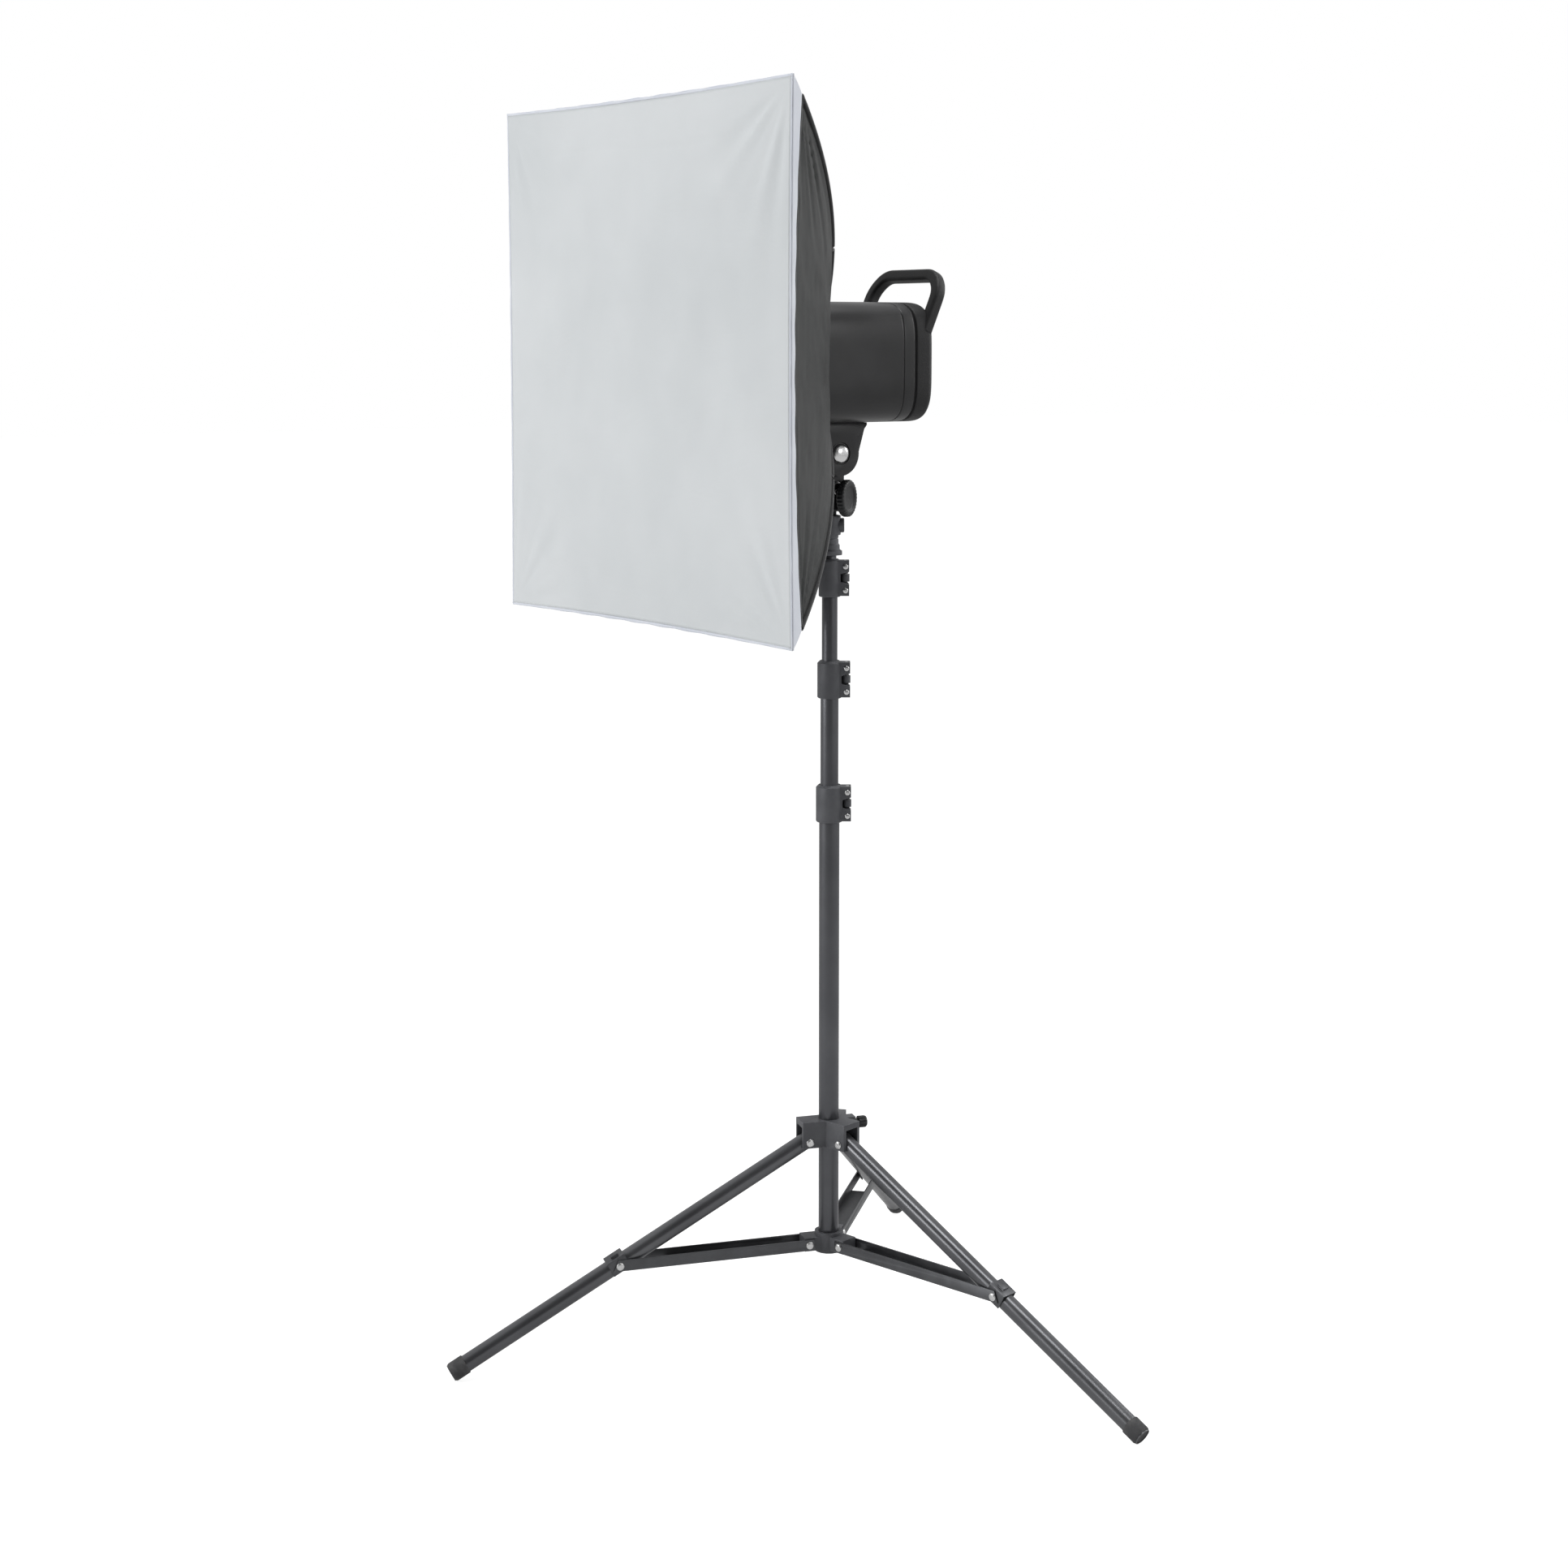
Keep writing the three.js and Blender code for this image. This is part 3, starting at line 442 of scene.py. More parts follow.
def keepNode(node, finish):
    data = nodes[node].data
    data.materials.clear()
    data.materials.append(finishes[finish])


columnFoot = (columnX, columnY, 0.0)
clampWay = math.radians(54)  # where the clamps' ears point


def around(azimuth, x, y, z):
    # a point given in a frame turned by azimuth round the column
    c, s = math.cos(azimuth), math.sin(azimuth)
    return (columnX + x * c - y * s, columnY + x * s + y * c, z)


def heading(azimuth, x=1.0, y=0.0, z=0.0):
    c, s = math.cos(azimuth), math.sin(azimuth)
    return (x * c - y * s, x * s + y * c, z)


def domeHead(name, centre, axis, body, finish="rivet", radius=0.004, height=0.0018):
    # a low dome on a short rim, turned round its own axis
    profile = [(0, -0.001), (radius, -0.001), (radius, height * 0.35), (radius * 0.8, height * 0.8),
               (radius * 0.4, height), (0, height)]
    return gridPiece(name, turned(profile, centre, axis, 24, 0.0003), finish, body)


# telescoping column
columnParts = {
    "wall": 0.001,
    "tubes": [("base_tube", "stand_base", 0.0125), ("lower_mid_tube", "lower_mid_section", 0.011),
              ("upper_mid_tube", "upper_mid_section", 0.0095), ("top_tube", "top_section", 0.008)],
    "clamps": [("lower", "stand_base", 0.0165), ("middle", "lower_mid_section", 0.015),
               ("upper", "upper_mid_section", 0.0135)],
    "screwRadius": 0.0034, "earReach": 0.008, "earWindow": (0.018, 0.028), "earTaper": 0.003,
}


def taperedEars(node, reach, window, taper):
    # the gap between a clamp's two ears widens towards their outer ends
    low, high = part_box(node)

    def reshape(points):
        x, y = points[:, 0] - columnX, points[:, 1] - columnY
        outward = x * math.cos(clampWay) + y * math.sin(clampWay)
        outer = outward > reach
        for edge, way in zip(window, (-1, 1)):
            points[outer & (np.abs(points[:, 2] - low.z - edge) < 0.0005), 2] += way * taper
        return points

    return reshape


def makeColumn(parts):
    for node, body, radius in parts["tubes"]:
        low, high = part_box(node)
        inner = radius - parts["wall"]
        profile = [(inner, low.z), (radius, low.z), (radius, high.z), (inner, high.z)]
        gridPiece(node + "Drawn", turned(profile, columnFoot, sides=72, radius=0.0003), "tube", body,
                  (node,))
    for level, body, wall in parts["clamps"]:
        refined(f"clampBody{level.title()}", f"section_clamp_{level}", "casting", body, 0.0009, 3,
                taperedEars(f"section_clamp_{level}", wall + parts["earReach"], parts["earWindow"],
                            parts["earTaper"]))
        refined(f"clampLeverArm{level.title()}", f"clamp_lever_{level}", "casting", f"lever_{level}",
                0.0008, 3)
        low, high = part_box(f"section_clamp_{level}")
        pivot = wall + 0.0055
        for i, height in enumerate((0.008, 0.037)):
            centre = around(clampWay, pivot, -0.009, low.z + height)
            domeHead(f"clampScrew{level.title()}{i + 1}", centre, heading(clampWay, 0, -1), body,
                     radius=parts["screwRadius"])
            socket = around(clampWay, pivot, 0.009, low.z + height)
            domeHead(f"clampNut{level.title()}{i + 1}", socket, heading(clampWay, 0, 1), body,
                     radius=parts["screwRadius"])
        profile = [(0, low.z + 0.0015), (0.002, low.z + 0.0015), (0.002, high.z - 0.0015),
                   (0, high.z - 0.0015)]
        gridPiece(f"clampPin{level.title()}", turned(profile, around(clampWay, pivot, 0, 0), sides=20,
                                                     radius=0.0004),
                  "rivet", body, (f"clamp_pin_{level}",))
    low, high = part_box("stand_spigot")
    flange = high.z - 0.0872
    profile = [(0, low.z), (0.0067, low.z), (0.0067, flange), (0.015, flange), (0.015, flange + 0.005),
               (0.012, flange + 0.007), (0.012, flange + 0.012), (0.0105, flange + 0.014),
               (0.0105, flange + 0.019), (0.0098, flange + 0.0195), (0.0098, flange + 0.0205),
               (0.0105, flange + 0.021), (0.0105, flange + 0.024), (0.0132, flange + 0.0245),
               (0.0132, flange + 0.048), (0.008, flange + 0.049), (0.008, high.z - 0.002), (0.006, high.z),
               (0, high.z)]
    gridPiece("standHead", turned(profile, columnFoot, sides=64, radius=0.0006), "casting", "top_section",
              ("stand_spigot",))
    boss = [(0, 0.010), (0.0088, 0.010), (0.0088, 0.0165), (0.0078, 0.0175), (0.006, 0.0175),
            (0.0052, 0.0166), (0, 0.0166)]
    points = turned(boss, around(clampWay, 0, 0, flange + 0.036), heading(clampWay), 48, 0.0005)
    gridPiece("headBoss", points, "casting", "top_section")


makeColumn(columnParts)
print("column made")

# tripod base
tripod = {
    "azimuths": (-108, 12, 132), "pivotRadius": 0.0285, "collarPivot": 0.256, "hubPivot": 0.125,
    "footRadius": 0.479, "footHeight": 0.0082, "half": 0.010, "corner": 0.0088, "wall": 0.0012,
    "braceRivet": 0.270, "braceHalf": 0.0135,
}


def roundedSquareLoop(half, corner, steps=8):
    # four quarter circles joined by straight sides
    flat = half - corner
    turns = np.linspace(0, math.pi / 2, steps)
    loop = [np.stack([flat * cx + corner * np.cos(turns + k * math.pi / 2),
                      flat * cy + corner * np.sin(turns + k * math.pi / 2)], -1)
            for k, (cx, cy) in enumerate([(1, 1), (-1, 1), (-1, -1), (1, -1)])]
    return np.concatenate(loop)


def makeTripod(t):
    run = t["footRadius"] - t["pivotRadius"]
    drop = t["collarPivot"] - t["footHeight"]
    slope, length = math.atan2(drop, run), math.hypot(run, drop)
    outer = roundedSquareLoop(t["half"], t["corner"])
    inner = roundedSquareLoop(t["half"] - t["wall"], t["corner"] - t["wall"])
    stations = [-0.005, -0.0047, 0.01, length - 0.004, length - 0.003]
    for k, degreesOn in enumerate(t["azimuths"], 1):
        azimuth = math.radians(degreesOn)
        origin = np.array(around(azimuth, t["pivotRadius"], 0, t["collarPivot"]))
        along = np.array(heading(azimuth, math.cos(slope), 0, -math.sin(slope)))
        sideways = np.array(heading(azimuth, 0, 1))
        up = np.cross(along, sideways)
        rings = [(s, outer) for s in stations] + [(s, inner) for s in stations[::-1]]
        points = np.stack([origin + along * s + loop[:, :1] * sideways + loop[:, 1:] * up
                           for s, loop in rings])
        gridPiece(f"legTube{k}", points, "legTube", f"leg_part_{k}", (f"leg_{k}",),
                  closedAlong=True)
        cap = [(length - 0.024, 0.0101), (length - 0.0237, 0.0110), (length - 0.0232, 0.0113),
               (length - 0.0065, 0.0113), (length - 0.0045, 0.0106), (length - 0.0038, 0.0092),
               (length - 0.0038, 0.004), (length - 0.0044, 0.003)]
        unitLoop = outer / t["half"]
        points = np.stack([origin + along * s + loop[:, :1] * sideways + loop[:, 1:] * up
                           for s, loop in [(s, unitLoop * r) for s, r in cap]])
        gridPiece(f"footCap{k}", points, "rubber", f"leg_part_{k}", (f"foot_cap_{k}",), caps=True)
        refined(f"legClip{k}", f"leg_clip_{k}", "braceSheet", f"leg_part_{k}", 0.0004, 2)
        refined(f"braceChannel{k}", f"brace_{k}", "braceSheet", f"brace_part_{k}", 0.0005, 2)
        makeLegPin(k, azimuth, t)
        for j, side in enumerate((-1, 1)):
            out = heading(azimuth, 0, side)
            hubHead = around(azimuth, t["pivotRadius"], side * t["braceHalf"], t["hubPivot"])
            domeHead(f"hubRivet{k}_{j}", hubHead, out, "stand_base", radius=0.0048)
            tipHead = around(azimuth, t["braceRivet"], side * t["braceHalf"], t["hubPivot"] - 0.0008)
            domeHead(f"braceRivet{k}_{j}", tipHead, out, f"brace_part_{k}", radius=0.0048)
    refined("legCollarCasting", "leg_collar", "casting", "collar", 0.0011, 3)
    refined("braceHubCasting", "brace_hub", "casting", "stand_base", 0.0009, 3)
    knobWay = math.radians(72)
    profile = [(0, 0.0136), (0.0025, 0.0136), (0.0025, 0.0336), (0.0045, 0.0336), (0.0045, 0.037),
               (0.0075, 0.038), (0.0075, 0.047), (0.006, 0.049), (0, 0.049)]
    points = turned(profile, around(knobWay, 0, 0, 0.273), heading(knobWay), 72, 0.0006,
                    ripple=(12, 0.0009, 0.0068))
    gridPiece("collarKnobGrip", points, "knobPlastic", "collar_knob_part", ("collar_knob",))


def makeLegPin(k, azimuth, t):
    reach = 0.0148
    half = [(0.003, 0), (0.003, reach), (0.005, reach), (0.005, reach + 0.0006), (0.0034, reach + 0.0018),
            (0, reach + 0.0018)]
    profile = [(r, -p) for r, p in half[::-1]] + half[1:]
    centre = around(azimuth, t["pivotRadius"], 0, t["collarPivot"])
    gridPiece(f"legRivet{k}", turned(profile, centre, heading(azimuth, 0, 1), 28, 0.0004), "rivet", "collar",
              (f"leg_pin_{k}",))


makeTripod(tripod)
print("tripod made")

# lamp mount: receiver, knob, bracket, bolt and lever
mountParts = {"tiltZ": 1.106, "knobWay": math.radians(30), "knobZ": 1.052, "cheek": 0.022}


def makeLampMount(m):
    refined("receiverCasting", "spigot_receiver", "lampPaint", "receiver", 0.0012, 3)
    refined("tiltBracketForged", "tilt_bracket", "lampPaint", "lamp", 0.0011, 3)
    refined("tiltLeverGrip", "tilt_lever", "knobPlastic", "tilt_lever_part", 0.0018, 3)
    knob = [(0, 0.009), (0.003, 0.009), (0.003, 0.0142), (0.009, 0.0142), (0.009, 0.017), (0.0205, 0.017),
            (0.0225, 0.019), (0.0225, 0.0255), (0.021, 0.027), (0.016, 0.027), (0.014, 0.0252),
            (0.006, 0.0248), (0, 0.0248)]
    points = turned(knob, around(m["knobWay"], 0, 0, m["knobZ"]), heading(m["knobWay"]), 180, 0.001,
                    ripple=(30, 0.0009, 0.0198))
    gridPiece("receiverKnobGrip", points, "knobPlastic", "receiver_knob_part",
              ("receiver_knob",))
    c = m["cheek"]
    bolt = [(0, -0.036), (0.004, -0.036), (0.004, c - 0.0017), (0.011, c - 0.0017), (0.011, c + 0.0005),
            (0.0096, c + 0.0022), (0.0065, c + 0.0036), (0.003, c + 0.0043), (0, c + 0.0045)]
    points = turned(bolt, (columnX, columnY, m["tiltZ"]), (1, 0, 0), 56, 0.0007)
    gridPiece("tiltBoltCap", points, "rivet", "lamp", ("tilt_bolt",))
    screwAt = around(0, 0.0132, 0.0, 1.0595)
    domeHead("receiverScrew", screwAt, (1, 0, 0), "receiver", radius=0.003, height=0.001)


makeLampMount(mountParts)
print("lamp mount made")

# lamp
lampParts = {"half": 0.072, "front": -0.058, "bodyRear": 0.073, "rear": 0.104, "wall": 0.0025, "power": 4.6}


def makeLamp(p):
    centre = (columnX, columnY, lampZ)
    half, inner, front, rear = p["half"], p["half"] - p["wall"], p["front"], p["rear"]

    def squareTurned(name, profile, finish, node, rounding=0.001, body="lamp"):
        points = turned(profile, centre, (0, 1, 0), 192, rounding, squareness=p["power"])
        return gridPiece(name, points, finish, body, (node,))

    groove = 0.0008
    shell = [(0.040, front), (half - 0.003, front), (half, front + 0.003), (half, 0.056),
             (half - groove, 0.0565), (half - groove, 0.0575), (half, 0.058), (half, p["bodyRear"]),
             (inner, p["bodyRear"]), (inner, front + 0.003), (0.040, front + 0.003)]
    squareTurned("lampShell", shell, "lampPaint", "lamp_housing", 0.0016)
    lip = 0.0734
    bezel = [(0.064, lip), (0.0696, lip), (0.0696, lip + 0.0024), (half, lip + 0.0036), (half, rear - 0.009),
             (half - 0.0012, rear - 0.006), (half - 0.0055, rear - 0.001), (half - 0.008, rear),
             (0.061, rear), (0.061, rear - 0.0047), (0.064, rear - 0.0047)]
    squareTurned("rearBezelMoulding", bezel, "bezelPlastic", "rear_bezel", 0.0016)
    refined("rearPanelPlate", "rear_panel", "plastic", "lamp", 0.0004, 2)
    refined("powerSocket", "power_inlet", "plastic", "lamp", 0.0004, 2)
    refined("rockerCap", "power_switch", "knobPlastic", "rocker", 0.0006, 3)
    refined("displayGlassPlate", "display_window", "display", "lamp", 0.0005, 3)
    refined("latchSlider", "mount_latch", "knobPlastic", "latch", 0.0006, 3)
    refined("speedRingPlate", "speed_ring", "lampPaint", "softbox", 0.0006, 2)
    back = rear - 0.005
    dial = [(0, back - 0.012), (0.0032, back - 0.012), (0.0032, back + 0.0004), (0.015, back + 0.0004),
            (0.015, back + 0.003), (0.0125, back + 0.004), (0.012, back + 0.013), (0.011, back + 0.014),
            (0.004, back + 0.0136), (0, back + 0.0136)]
    points = turned(dial, (columnX + 0.026, columnY, lampZ - 0.008), (0, 1, 0), 160, 0.0006,
                    ripple=(32, 0.0006, 0.0116))
    gridPiece("dialGrip", points, "knobPlastic", "dial", ("control_dial",))
    ringSection = [(0.042, front - 0.008), (0.050, front - 0.008), (0.050, front - 0.0003),
                   (0.042, front - 0.0003)]
    gridPiece("mountRing", turned(ringSection, centre, (0, 1, 0), 96, 0.0006), "aluminium", "lamp",
              ("lamp_mount_ring",))
    for k in range(4):
        sx, sz = (-1, 1)[k % 2], (-1, 1)[k // 2]
        spot = (columnX + sx * 0.050, columnY + back, lampZ + sz * 0.050)
        domeHead(f"panelScrew{k + 1}", spot, (0, 1, 0), "lamp", radius=0.0026, height=0.0011)
    for node, finish in (("heat_sink", "aluminium"), ("fan_frame", "plastic"), ("fan_rotor", "knobPlastic"),
                         ("driver_board", "board"), ("led_module", "phosphor")):
        keepNode(node, finish)
    for k in range(4):
        keepNode(f"rod_{k + 1}", "steel")


def bentLine(corners, radius, steps=10):
    # straight runs joined by smooth bends
    corners = np.array(corners, dtype=float)
    line = [corners[0]]
    t = np.linspace(0, 1, steps)[:, None]
    for a, c, b in zip(corners[:-2], corners[1:-1], corners[2:]):
        start = c + (a - c) * min(0.5, radius / np.linalg.norm(a - c))
        end = c + (b - c) * min(0.5, radius / np.linalg.norm(b - c))
        line.extend((1 - t) ** 2 * start + 2 * t * (1 - t) * c + t ** 2 * end)
    line.append(corners[-1])
    return np.array(line)


handleParts = {
    "corners": [(-0.0645, 0.003), (-0.0645, 0.057), (-0.047, 0.0765), (0.047, 0.0765), (0.0645, 0.057),
                (0.0645, 0.003)],
    "bend": 0.0125, "lean": math.radians(24), "half": 0.0073, "edge": 0.0042, "foot": (0.092, 0.034),
}


def makeHandle(h):
    # one bent bar, up from the bezel's rear corners and across, leaning back
    line = bentLine(h["corners"], h["bend"])
    tangent = np.gradient(line, axis=0)
    tangent /= np.linalg.norm(tangent, axis=1, keepdims=True)
    c, s = math.cos(h["lean"]), math.sin(h["lean"])

    def stood(flat):
        return np.stack([flat[:, 0], flat[:, 1] * s, flat[:, 1] * c], -1)

    foot = np.array([columnX, columnY + h["foot"][0], lampZ + h["foot"][1]])
    side = stood(np.stack([tangent[:, 1], -tangent[:, 0]], -1))
    loop = roundedSquareLoop(h["half"], h["edge"])
    points = ((foot + stood(line))[:, None] + loop[None, :, :1] * side[:, None]
              + loop[None, :, 1:] * np.array([0.0, c, -s]))
    gridPiece("carryHandleGrip", points, "bezelPlastic", "lamp", ("carry_handle",),
              caps=True)


makeLamp(lampParts)
makeHandle(handleParts)
print("lamp made")

# softbox cloth
softboxCut = {
    "faceY": -0.270, "faceHalf": 0.301, "rimCorner": 0.028, "rimMiddle": 0.019, "rear": 0.211,
    "rod": [(0, 0.301), (0.078, 0.244), (0.165, 0.168), (0.211, 0.074)],  # depth, half width
    "cloth": 0.0007, "tuck": 0.0016,  # tuck: how far the skin lies inside the rim strip
}


def bezier(points, t):
    # cubic curve by Bernstein's weights
    weights = np.stack([(1 - t) ** 3, 3 * t * (1 - t) ** 2, 3 * t ** 2 * (1 - t), t ** 3], -1)
    return weights @ np.array(points)


rodCurve = bezier(softboxCut["rod"], np.linspace(0, 1, 400))


def cornerHalf(depth):
    return np.interp(depth, rodCurve[:, 0], rodCurve[:, 1])


def pullIn(depth):
    # how far the cloth is drawn in midway between two rods
    share = np.clip((depth + 0.004) / 0.243, 0, 1)
    return 0.0105 * np.sin(math.pi * share ** 0.6)


def smoothNoise(shape, cells, seedShift):
    # random heights on a coarse lattice, joined by cosine-smoothed steps
    source = np.random.default_rng(40 + seedShift).normal(size=(cells[0] + 1, cells[1] + 1))
    rows, columns = np.linspace(0, cells[0] - 1e-6, shape[0]), np.linspace(0, cells[1] - 1e-6, shape[1])
    r0, c0 = rows.astype(int), columns.astype(int)
    fr, fc = (1 - np.cos((rows - r0) * math.pi)) / 2, (1 - np.cos((columns - c0) * math.pi)) / 2
    fr, fc = fr[:, None], fc[None, :]
    low = source[r0][:, c0] * (1 - fc) + source[r0][:, c0 + 1] * fc
    high = source[r0 + 1][:, c0] * (1 - fc) + source[r0 + 1][:, c0 + 1] * fc
    return low * (1 - fr) + high * fr


def sidePoints(side, out, depth, along):
    # a side's own (outward, depth, along) turned about the softbox's axis to the side it belongs to
    angle = -side * math.pi / 2
    c, s = math.cos(angle), math.sin(angle)
    x, z = out * c + along * s, -out * s + along * c
    return np.stack([columnX + x, columnY + softboxCut["faceY"] + depth, lampZ + z], -1)


def skinWrinkles(along, depth, side):
    # ripples that fan out from the two front corners and from the lamp end, and long soft waves between
    reach = np.zeros_like(depth)
    half = cornerHalf(depth)
    for sign in (-1, 1):
        toCorner = (1 - sign * along) * half
        down = depth - softboxCut["rimMiddle"]
        distance = np.hypot(toCorner, down) + 1e-6
        fan = np.arctan2(down, toCorner)
        ripples = np.sin(fan * 17 + side * 1.3 + sign) + 0.5 * np.sin(fan * 31 + side)
        fanned = 0.0013 * ripples * np.exp(-((distance - 0.055) / 0.055) ** 2)
        reach += fanned * np.clip(toCorner / 0.02, 0, 1)
    gather = np.exp(-((softboxCut["rear"] - depth) / 0.045) ** 2)
    reach += 0.0009 * gather * np.sin(along * 21 + side * 2.1) * (1 - along ** 4)
    reach += 0.0009 * smoothNoise(depth.shape, (7, 9), side) * (1 - along ** 2)
    reach += 0.0005 * smoothNoise(depth.shape, (17, 23), 10 + side) * (1 - along ** 4)
    return reach


def rimBack(along):
    # the rim strip is a little wider at the corners
    middle, corner = softboxCut["rimMiddle"], softboxCut["rimCorner"]
    return middle + (corner - middle) * along ** 2


def makeSkin(cut):
    rows, perSide = 90, 84
    depthLine = np.linspace(cut["rimMiddle"] - 0.004, cut["rear"], rows)
    alongLine = np.linspace(-1, 1, perSide, endpoint=False)
    blocks, uvs = [], []
    run = np.concatenate([[0], np.cumsum(np.hypot(np.diff(depthLine), np.diff(cornerHalf(depthLine))))])
    for side in range(4):
        along, depth = np.meshgrid(alongLine, depthLine)
        half = cornerHalf(depth)
        # flat and a little smaller where it lies under the rim strip
        under = np.clip((rimBack(along) + 0.007 - depth) / 0.006, 0, 1)
        sag = pullIn(depth) * (1 - along ** 2)
        out = half - sag + skinWrinkles(along, depth, side) * (1 - under) - cut["tuck"] * under
        out -= 0.0022 * np.abs(along) ** 60  # the rod's corner is round, not sharp
        across = along * (half - cut["tuck"] * under) * (1 - 0.007 * np.abs(along) ** 60)
        blocks.append(sidePoints(side, out, depth, across))
        uvs.append(np.stack([along * half + side * 0.7, np.broadcast_to(run[:, None], depth.shape)], -1))
    points, uv = np.concatenate(blocks, 1), np.concatenate(uvs, 1)
    skin = gridPiece("softboxSkin", points, "blackCloth", "softbox", ("softbox_shell",), uv=uv)
    thicken(skin, cut["cloth"])


def thicken(piece, thickness):
    wall = piece.modifiers.new("clothThickness", "SOLIDIFY")
    wall.thickness, wall.offset, wall.use_even_offset = thickness, -1.0, False


def stripRound(name, depthOf, rows, finish, replaced, offset, perSide=96, wave=0.0):
    # a band that runs round the four sides; depthOf(share across the band, along) gives its depth
    share = np.linspace(0, 1, rows)
    alongLine = np.linspace(-1, 1, perSide, endpoint=False)
    blocks, uvs = [], []
    for side in range(4):
        along, across = np.meshgrid(alongLine, share)
        depth = depthOf(across, along)
        half = cornerHalf(depth)
        sag = pullIn(depth) * (1 - along ** 2)
        out = half - sag + offset(across) + wave * np.sin(along * 34 + side) * (1 - along ** 2)
        blocks.append(sidePoints(side, out, depth, along * (half + offset(across))))
        uvs.append(np.stack([along * half + side * 0.7, across * 0.03], -1))
    points, uv = np.concatenate(blocks, 1), np.concatenate(uvs, 1)
    return gridPiece(name, points, finish, "softbox", replaced, uv=uv)


def makeRim():
    def depthOf(across, along):
        return across * rimBack(along)

    rim = stripRound("whiteRimStrip", depthOf, 12, "whiteBand", ("diffuser_rim",),
                     lambda across: 0.0006 + 0.0007 * np.sin(math.pi * across), wave=0.0004)
    thicken(rim, 0.0006)

    def seamDepth(across, along):
        return rimBack(along) - 0.003 + across * 0.0045

    stripRound("rimSeamTape", seamDepth, 7, "blackBand", (),
               lambda across: 0.0005 + 0.0011 * np.sin(math.pi * across))


def makeDiffuser(cut):
    count = 170
    line = np.linspace(-1, 1, count)
    u, v = np.meshgrid(line, line)
    edge = cut["faceHalf"] - 0.0016
    bow = 0.0042
    x = u * edge * (1 - bow / edge * (1 - v ** 2) * np.abs(u) ** 3)
    z = v * edge * (1 - bow / edge * (1 - u ** 2) * np.abs(v) ** 3)
    inside = (1 - u ** 4) * (1 - v ** 4)
    depth = -0.0030 * inside  # the cloth stands a little proud
    for cx, cz, strength in ((1, 1, 1.0), (-1, 1, 0.6), (1, -1, 0.7), (-1, -1, 0.5)):
        dx, dz = (cx - u * cx * cx) * edge, (cz - v * cz * cz) * edge
        dx, dz = np.abs(dx), np.abs(dz)
        distance, fan = np.hypot(dx, dz) + 1e-6, np.arctan2(dz, dx)
        ripples = np.sin(fan * 14 + cx) + 0.6 * np.sin(fan * 23 + 2 * cz)
        depth += 0.0010 * strength * ripples * np.exp(-((distance - 0.09) / 0.085) ** 2)
    crease = v - 0.82 + 0.01 * np.sin(u * 5)
    depth += 0.0006 * np.exp(-(crease / 0.008) ** 2) * np.clip(1.2 - np.abs(u), 0, 1)
    slack = 0.0008 * smoothNoise(u.shape, (6, 8), 31) + 0.0004 * smoothNoise(u.shape, (15, 19), 32)
    depth += slack * inside
    depth = np.clip(depth, -0.0055, 0.0015) * np.clip(inside * 6, 0, 1)
    points = np.stack([columnX + x, np.full_like(x, columnY + cut["faceY"]) + depth, lampZ + z], -1)
    uv = np.stack([x, z], -1)
    sheet = gridPiece("whiteDiffuser", points, "whiteCloth", "softbox", ("diffuser",),
                      closedAcross=False, uv=uv)
    thicken(sheet, 0.0005)
    return sheet


def pathTube(name, path, radius, finish, body, sides=14, flatten=1.0, closed=False):
    # a round section carried along a line of points, turned to stay square to it
    tangent = np.gradient(path, axis=0) if not closed else np.roll(path, -1, 0) - np.roll(path, 1, 0)
    tangent /= np.linalg.norm(tangent, axis=1, keepdims=True)
    middle = np.array([columnX, columnY, lampZ])
    outward = path - middle
    outward -= (outward * tangent).sum(1, keepdims=True) * tangent
    outward /= np.linalg.norm(outward, axis=1, keepdims=True)
    across = np.cross(tangent, outward)
    turn = np.linspace(0, 2 * math.pi, sides, endpoint=False)
    points = (path[:, None] + radius * flatten * np.cos(turn)[None, :, None] * outward[:, None]
              + radius * np.sin(turn)[None, :, None] * across[:, None])
    run = np.concatenate([[0], np.cumsum(np.linalg.norm(np.diff(path, axis=0), axis=1))])
    uv = np.stack(np.broadcast_arrays(turn[None, :] * radius, run[:, None]), -1)
    return gridPiece(name, points, finish, body, closedAlong=closed, caps=not closed, uv=uv)


def makeBindings(cut):
    depth = np.linspace(cut["rimCorner"] - 0.002, cut["rear"] - 0.002, 60)
    for side in range(4):
        half = cornerHalf(depth) - 0.0004
        path = sidePoints(side, half, depth, half)
        pathTube(f"cornerBinding{side + 1}", path, 0.0034, "blackBand", "softbox", flatten=0.8)
    # the lamp end is hemmed, and the front edge is piped
    alongLine = np.linspace(-1, 1, 60, endpoint=False)
    for name, atDepth, radius, finish, slotName in (
            ("rearHem", cut["rear"] - 0.0022, 0.0021, "blackBand", "black_cloth"),
            ("frontPiping", 0.0012, 0.0017, "whiteBand", "rim_cloth")):
        loops = []
        for side in range(4):
            depthHere = np.full_like(alongLine, atDepth)
            half = cornerHalf(depthHere)
            loops.append(sidePoints(side, half - pullIn(depthHere) * (1 - alongLine ** 2), depthHere,
                                    alongLine * half))
        pathTube(name, np.concatenate(loops), radius, finish, "softbox", closed=True)


makeDiffuser(softboxCut)
makeSkin(softboxCut)
makeRim()
makeBindings(softboxCut)
print("softbox made")

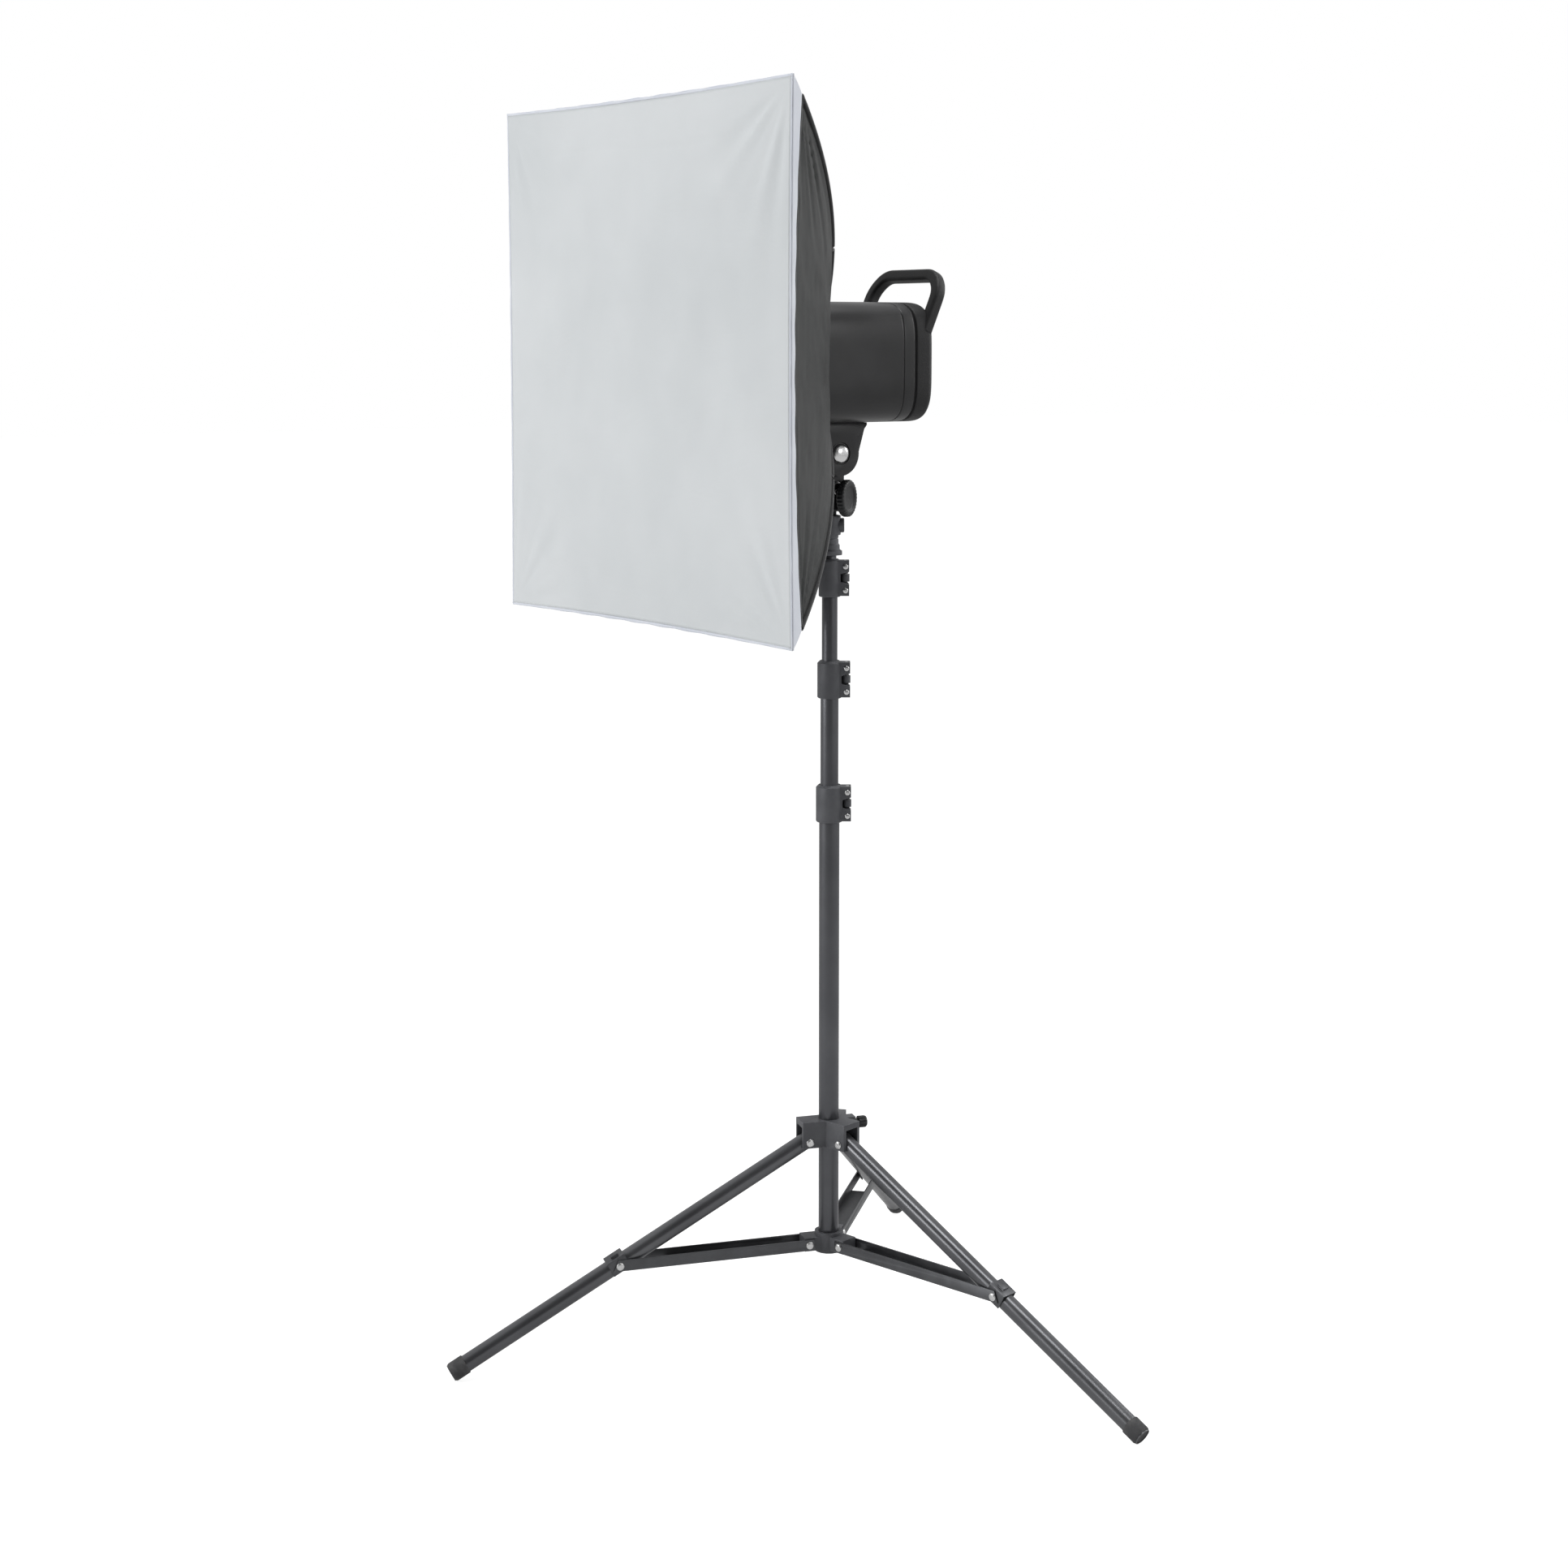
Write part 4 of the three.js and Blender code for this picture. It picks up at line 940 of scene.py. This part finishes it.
# floor, background and light
studio = {
    "floor": (0.45, 0.45), "floorGlow": (0.84, 0.16), "floorSize": 60.0, "background": 1.0,
    "ambient": 0.62, "frontShare": 0.10, "frontFrom": 0.25, "frontTo": 0.90,
    "lights": [  # name, where from the column, size, watts
        ("keyLight", (-1.2, -4.4, 2.2), 2.2, 118), ("sideLight", (4.6, 1.4, 2.4), 1.2, 34),
        ("rearLight", (0.8, 4.2, 2.6), 1.8, 46), ("topLight", (0.4, 0.2, 4.2), 1.6, 52)],
}


def forTheEye(tree, seen, bounced, output):
    # one shader for what is looked at directly, another for the light it sends on
    pick = tree.nodes.new("ShaderNodeMixShader")
    tree.links.new(tree.nodes.new("ShaderNodeLightPath").outputs["Is Camera Ray"], pick.inputs["Fac"])
    tree.links.new(bounced.outputs[0], pick.inputs[1])
    tree.links.new(seen.outputs[0], pick.inputs[2])
    tree.links.new(pick.outputs[0], tree.nodes[output].inputs["Surface"])


def makeFloor(s):
    material = bpy.data.materials.new("paleFloor")
    material.use_nodes = True
    tree = material.node_tree
    shaders = [tree.nodes["Principled BSDF"], tree.nodes.new("ShaderNodeBsdfPrincipled")]
    for shader, tone, glow in zip(shaders, s["floor"], s["floorGlow"]):
        shader.inputs["Base Color"].default_value = (tone, tone, tone, 1)
        shader.inputs["Roughness"].default_value = 0.9
        shader.inputs["Specular IOR Level"].default_value = 0.0
        shader.inputs["Emission Color"].default_value = (1, 1, 1, 1)
        shader.inputs["Emission Strength"].default_value = glow
    forTheEye(tree, shaders[0], shaders[1], "Material Output")
    half = s["floorSize"] / 2
    mesh = bpy.data.meshes.new("studioFloor")
    mesh.from_pydata([(-half, -half, 0), (half, -half, 0), (half, half, 0), (-half, half, 0)], [],
                     [(0, 1, 2, 3)])
    mesh.materials.append(material)
    floor = bpy.data.objects.new("studioFloor", mesh)
    bpy.context.scene.collection.objects.link(floor)


def makeStudio(s):
    makeFloor(s)
    world = bpy.data.worlds.new("studioWorld")
    world.use_nodes = True
    tree = world.node_tree
    soft, bright = tree.nodes["Background"], tree.nodes.new("ShaderNodeBackground")
    soft.inputs["Color"].default_value = bright.inputs["Color"].default_value = (1, 1, 1, 1)
    bright.inputs["Strength"].default_value = s["background"]
    # the room is dark where the eye stands, so that round metal shows a dark stripe between pale sides
    side, fade = tree.nodes.new("ShaderNodeVectorMath"), tree.nodes.new("ShaderNodeMapRange")
    side.operation = "DOT_PRODUCT"
    side.inputs[1].default_value = Vector(cameraSetup["place"]).normalized()
    tree.links.new(tree.nodes.new("ShaderNodeTexCoord").outputs["Generated"], side.inputs[0])
    for socket, value in (("From Min", s["frontFrom"]), ("From Max", s["frontTo"]),
                          ("To Min", s["ambient"]), ("To Max", s["ambient"] * s["frontShare"])):
        fade.inputs[socket].default_value = value
    tree.links.new(side.outputs["Value"], fade.inputs["Value"])
    tree.links.new(fade.outputs["Result"], soft.inputs["Strength"])
    forTheEye(tree, bright, soft, "World Output")
    bpy.context.scene.world = world
    target = Vector((columnX, columnY, 0.9))
    for name, where, size, watts in s["lights"]:
        data = bpy.data.lights.new(name, "AREA")
        data.size, data.energy = size, watts
        light = bpy.data.objects.new(name, data)
        light.location = Vector((columnX, columnY, 0)) + Vector(where)
        light.rotation_euler = (target - light.location).to_track_quat("-Z", "Y").to_euler()
        bpy.context.scene.collection.objects.link(light)
    bpy.context.scene.view_settings.view_transform = "Standard"


makeStudio(studio)
print("studio made")
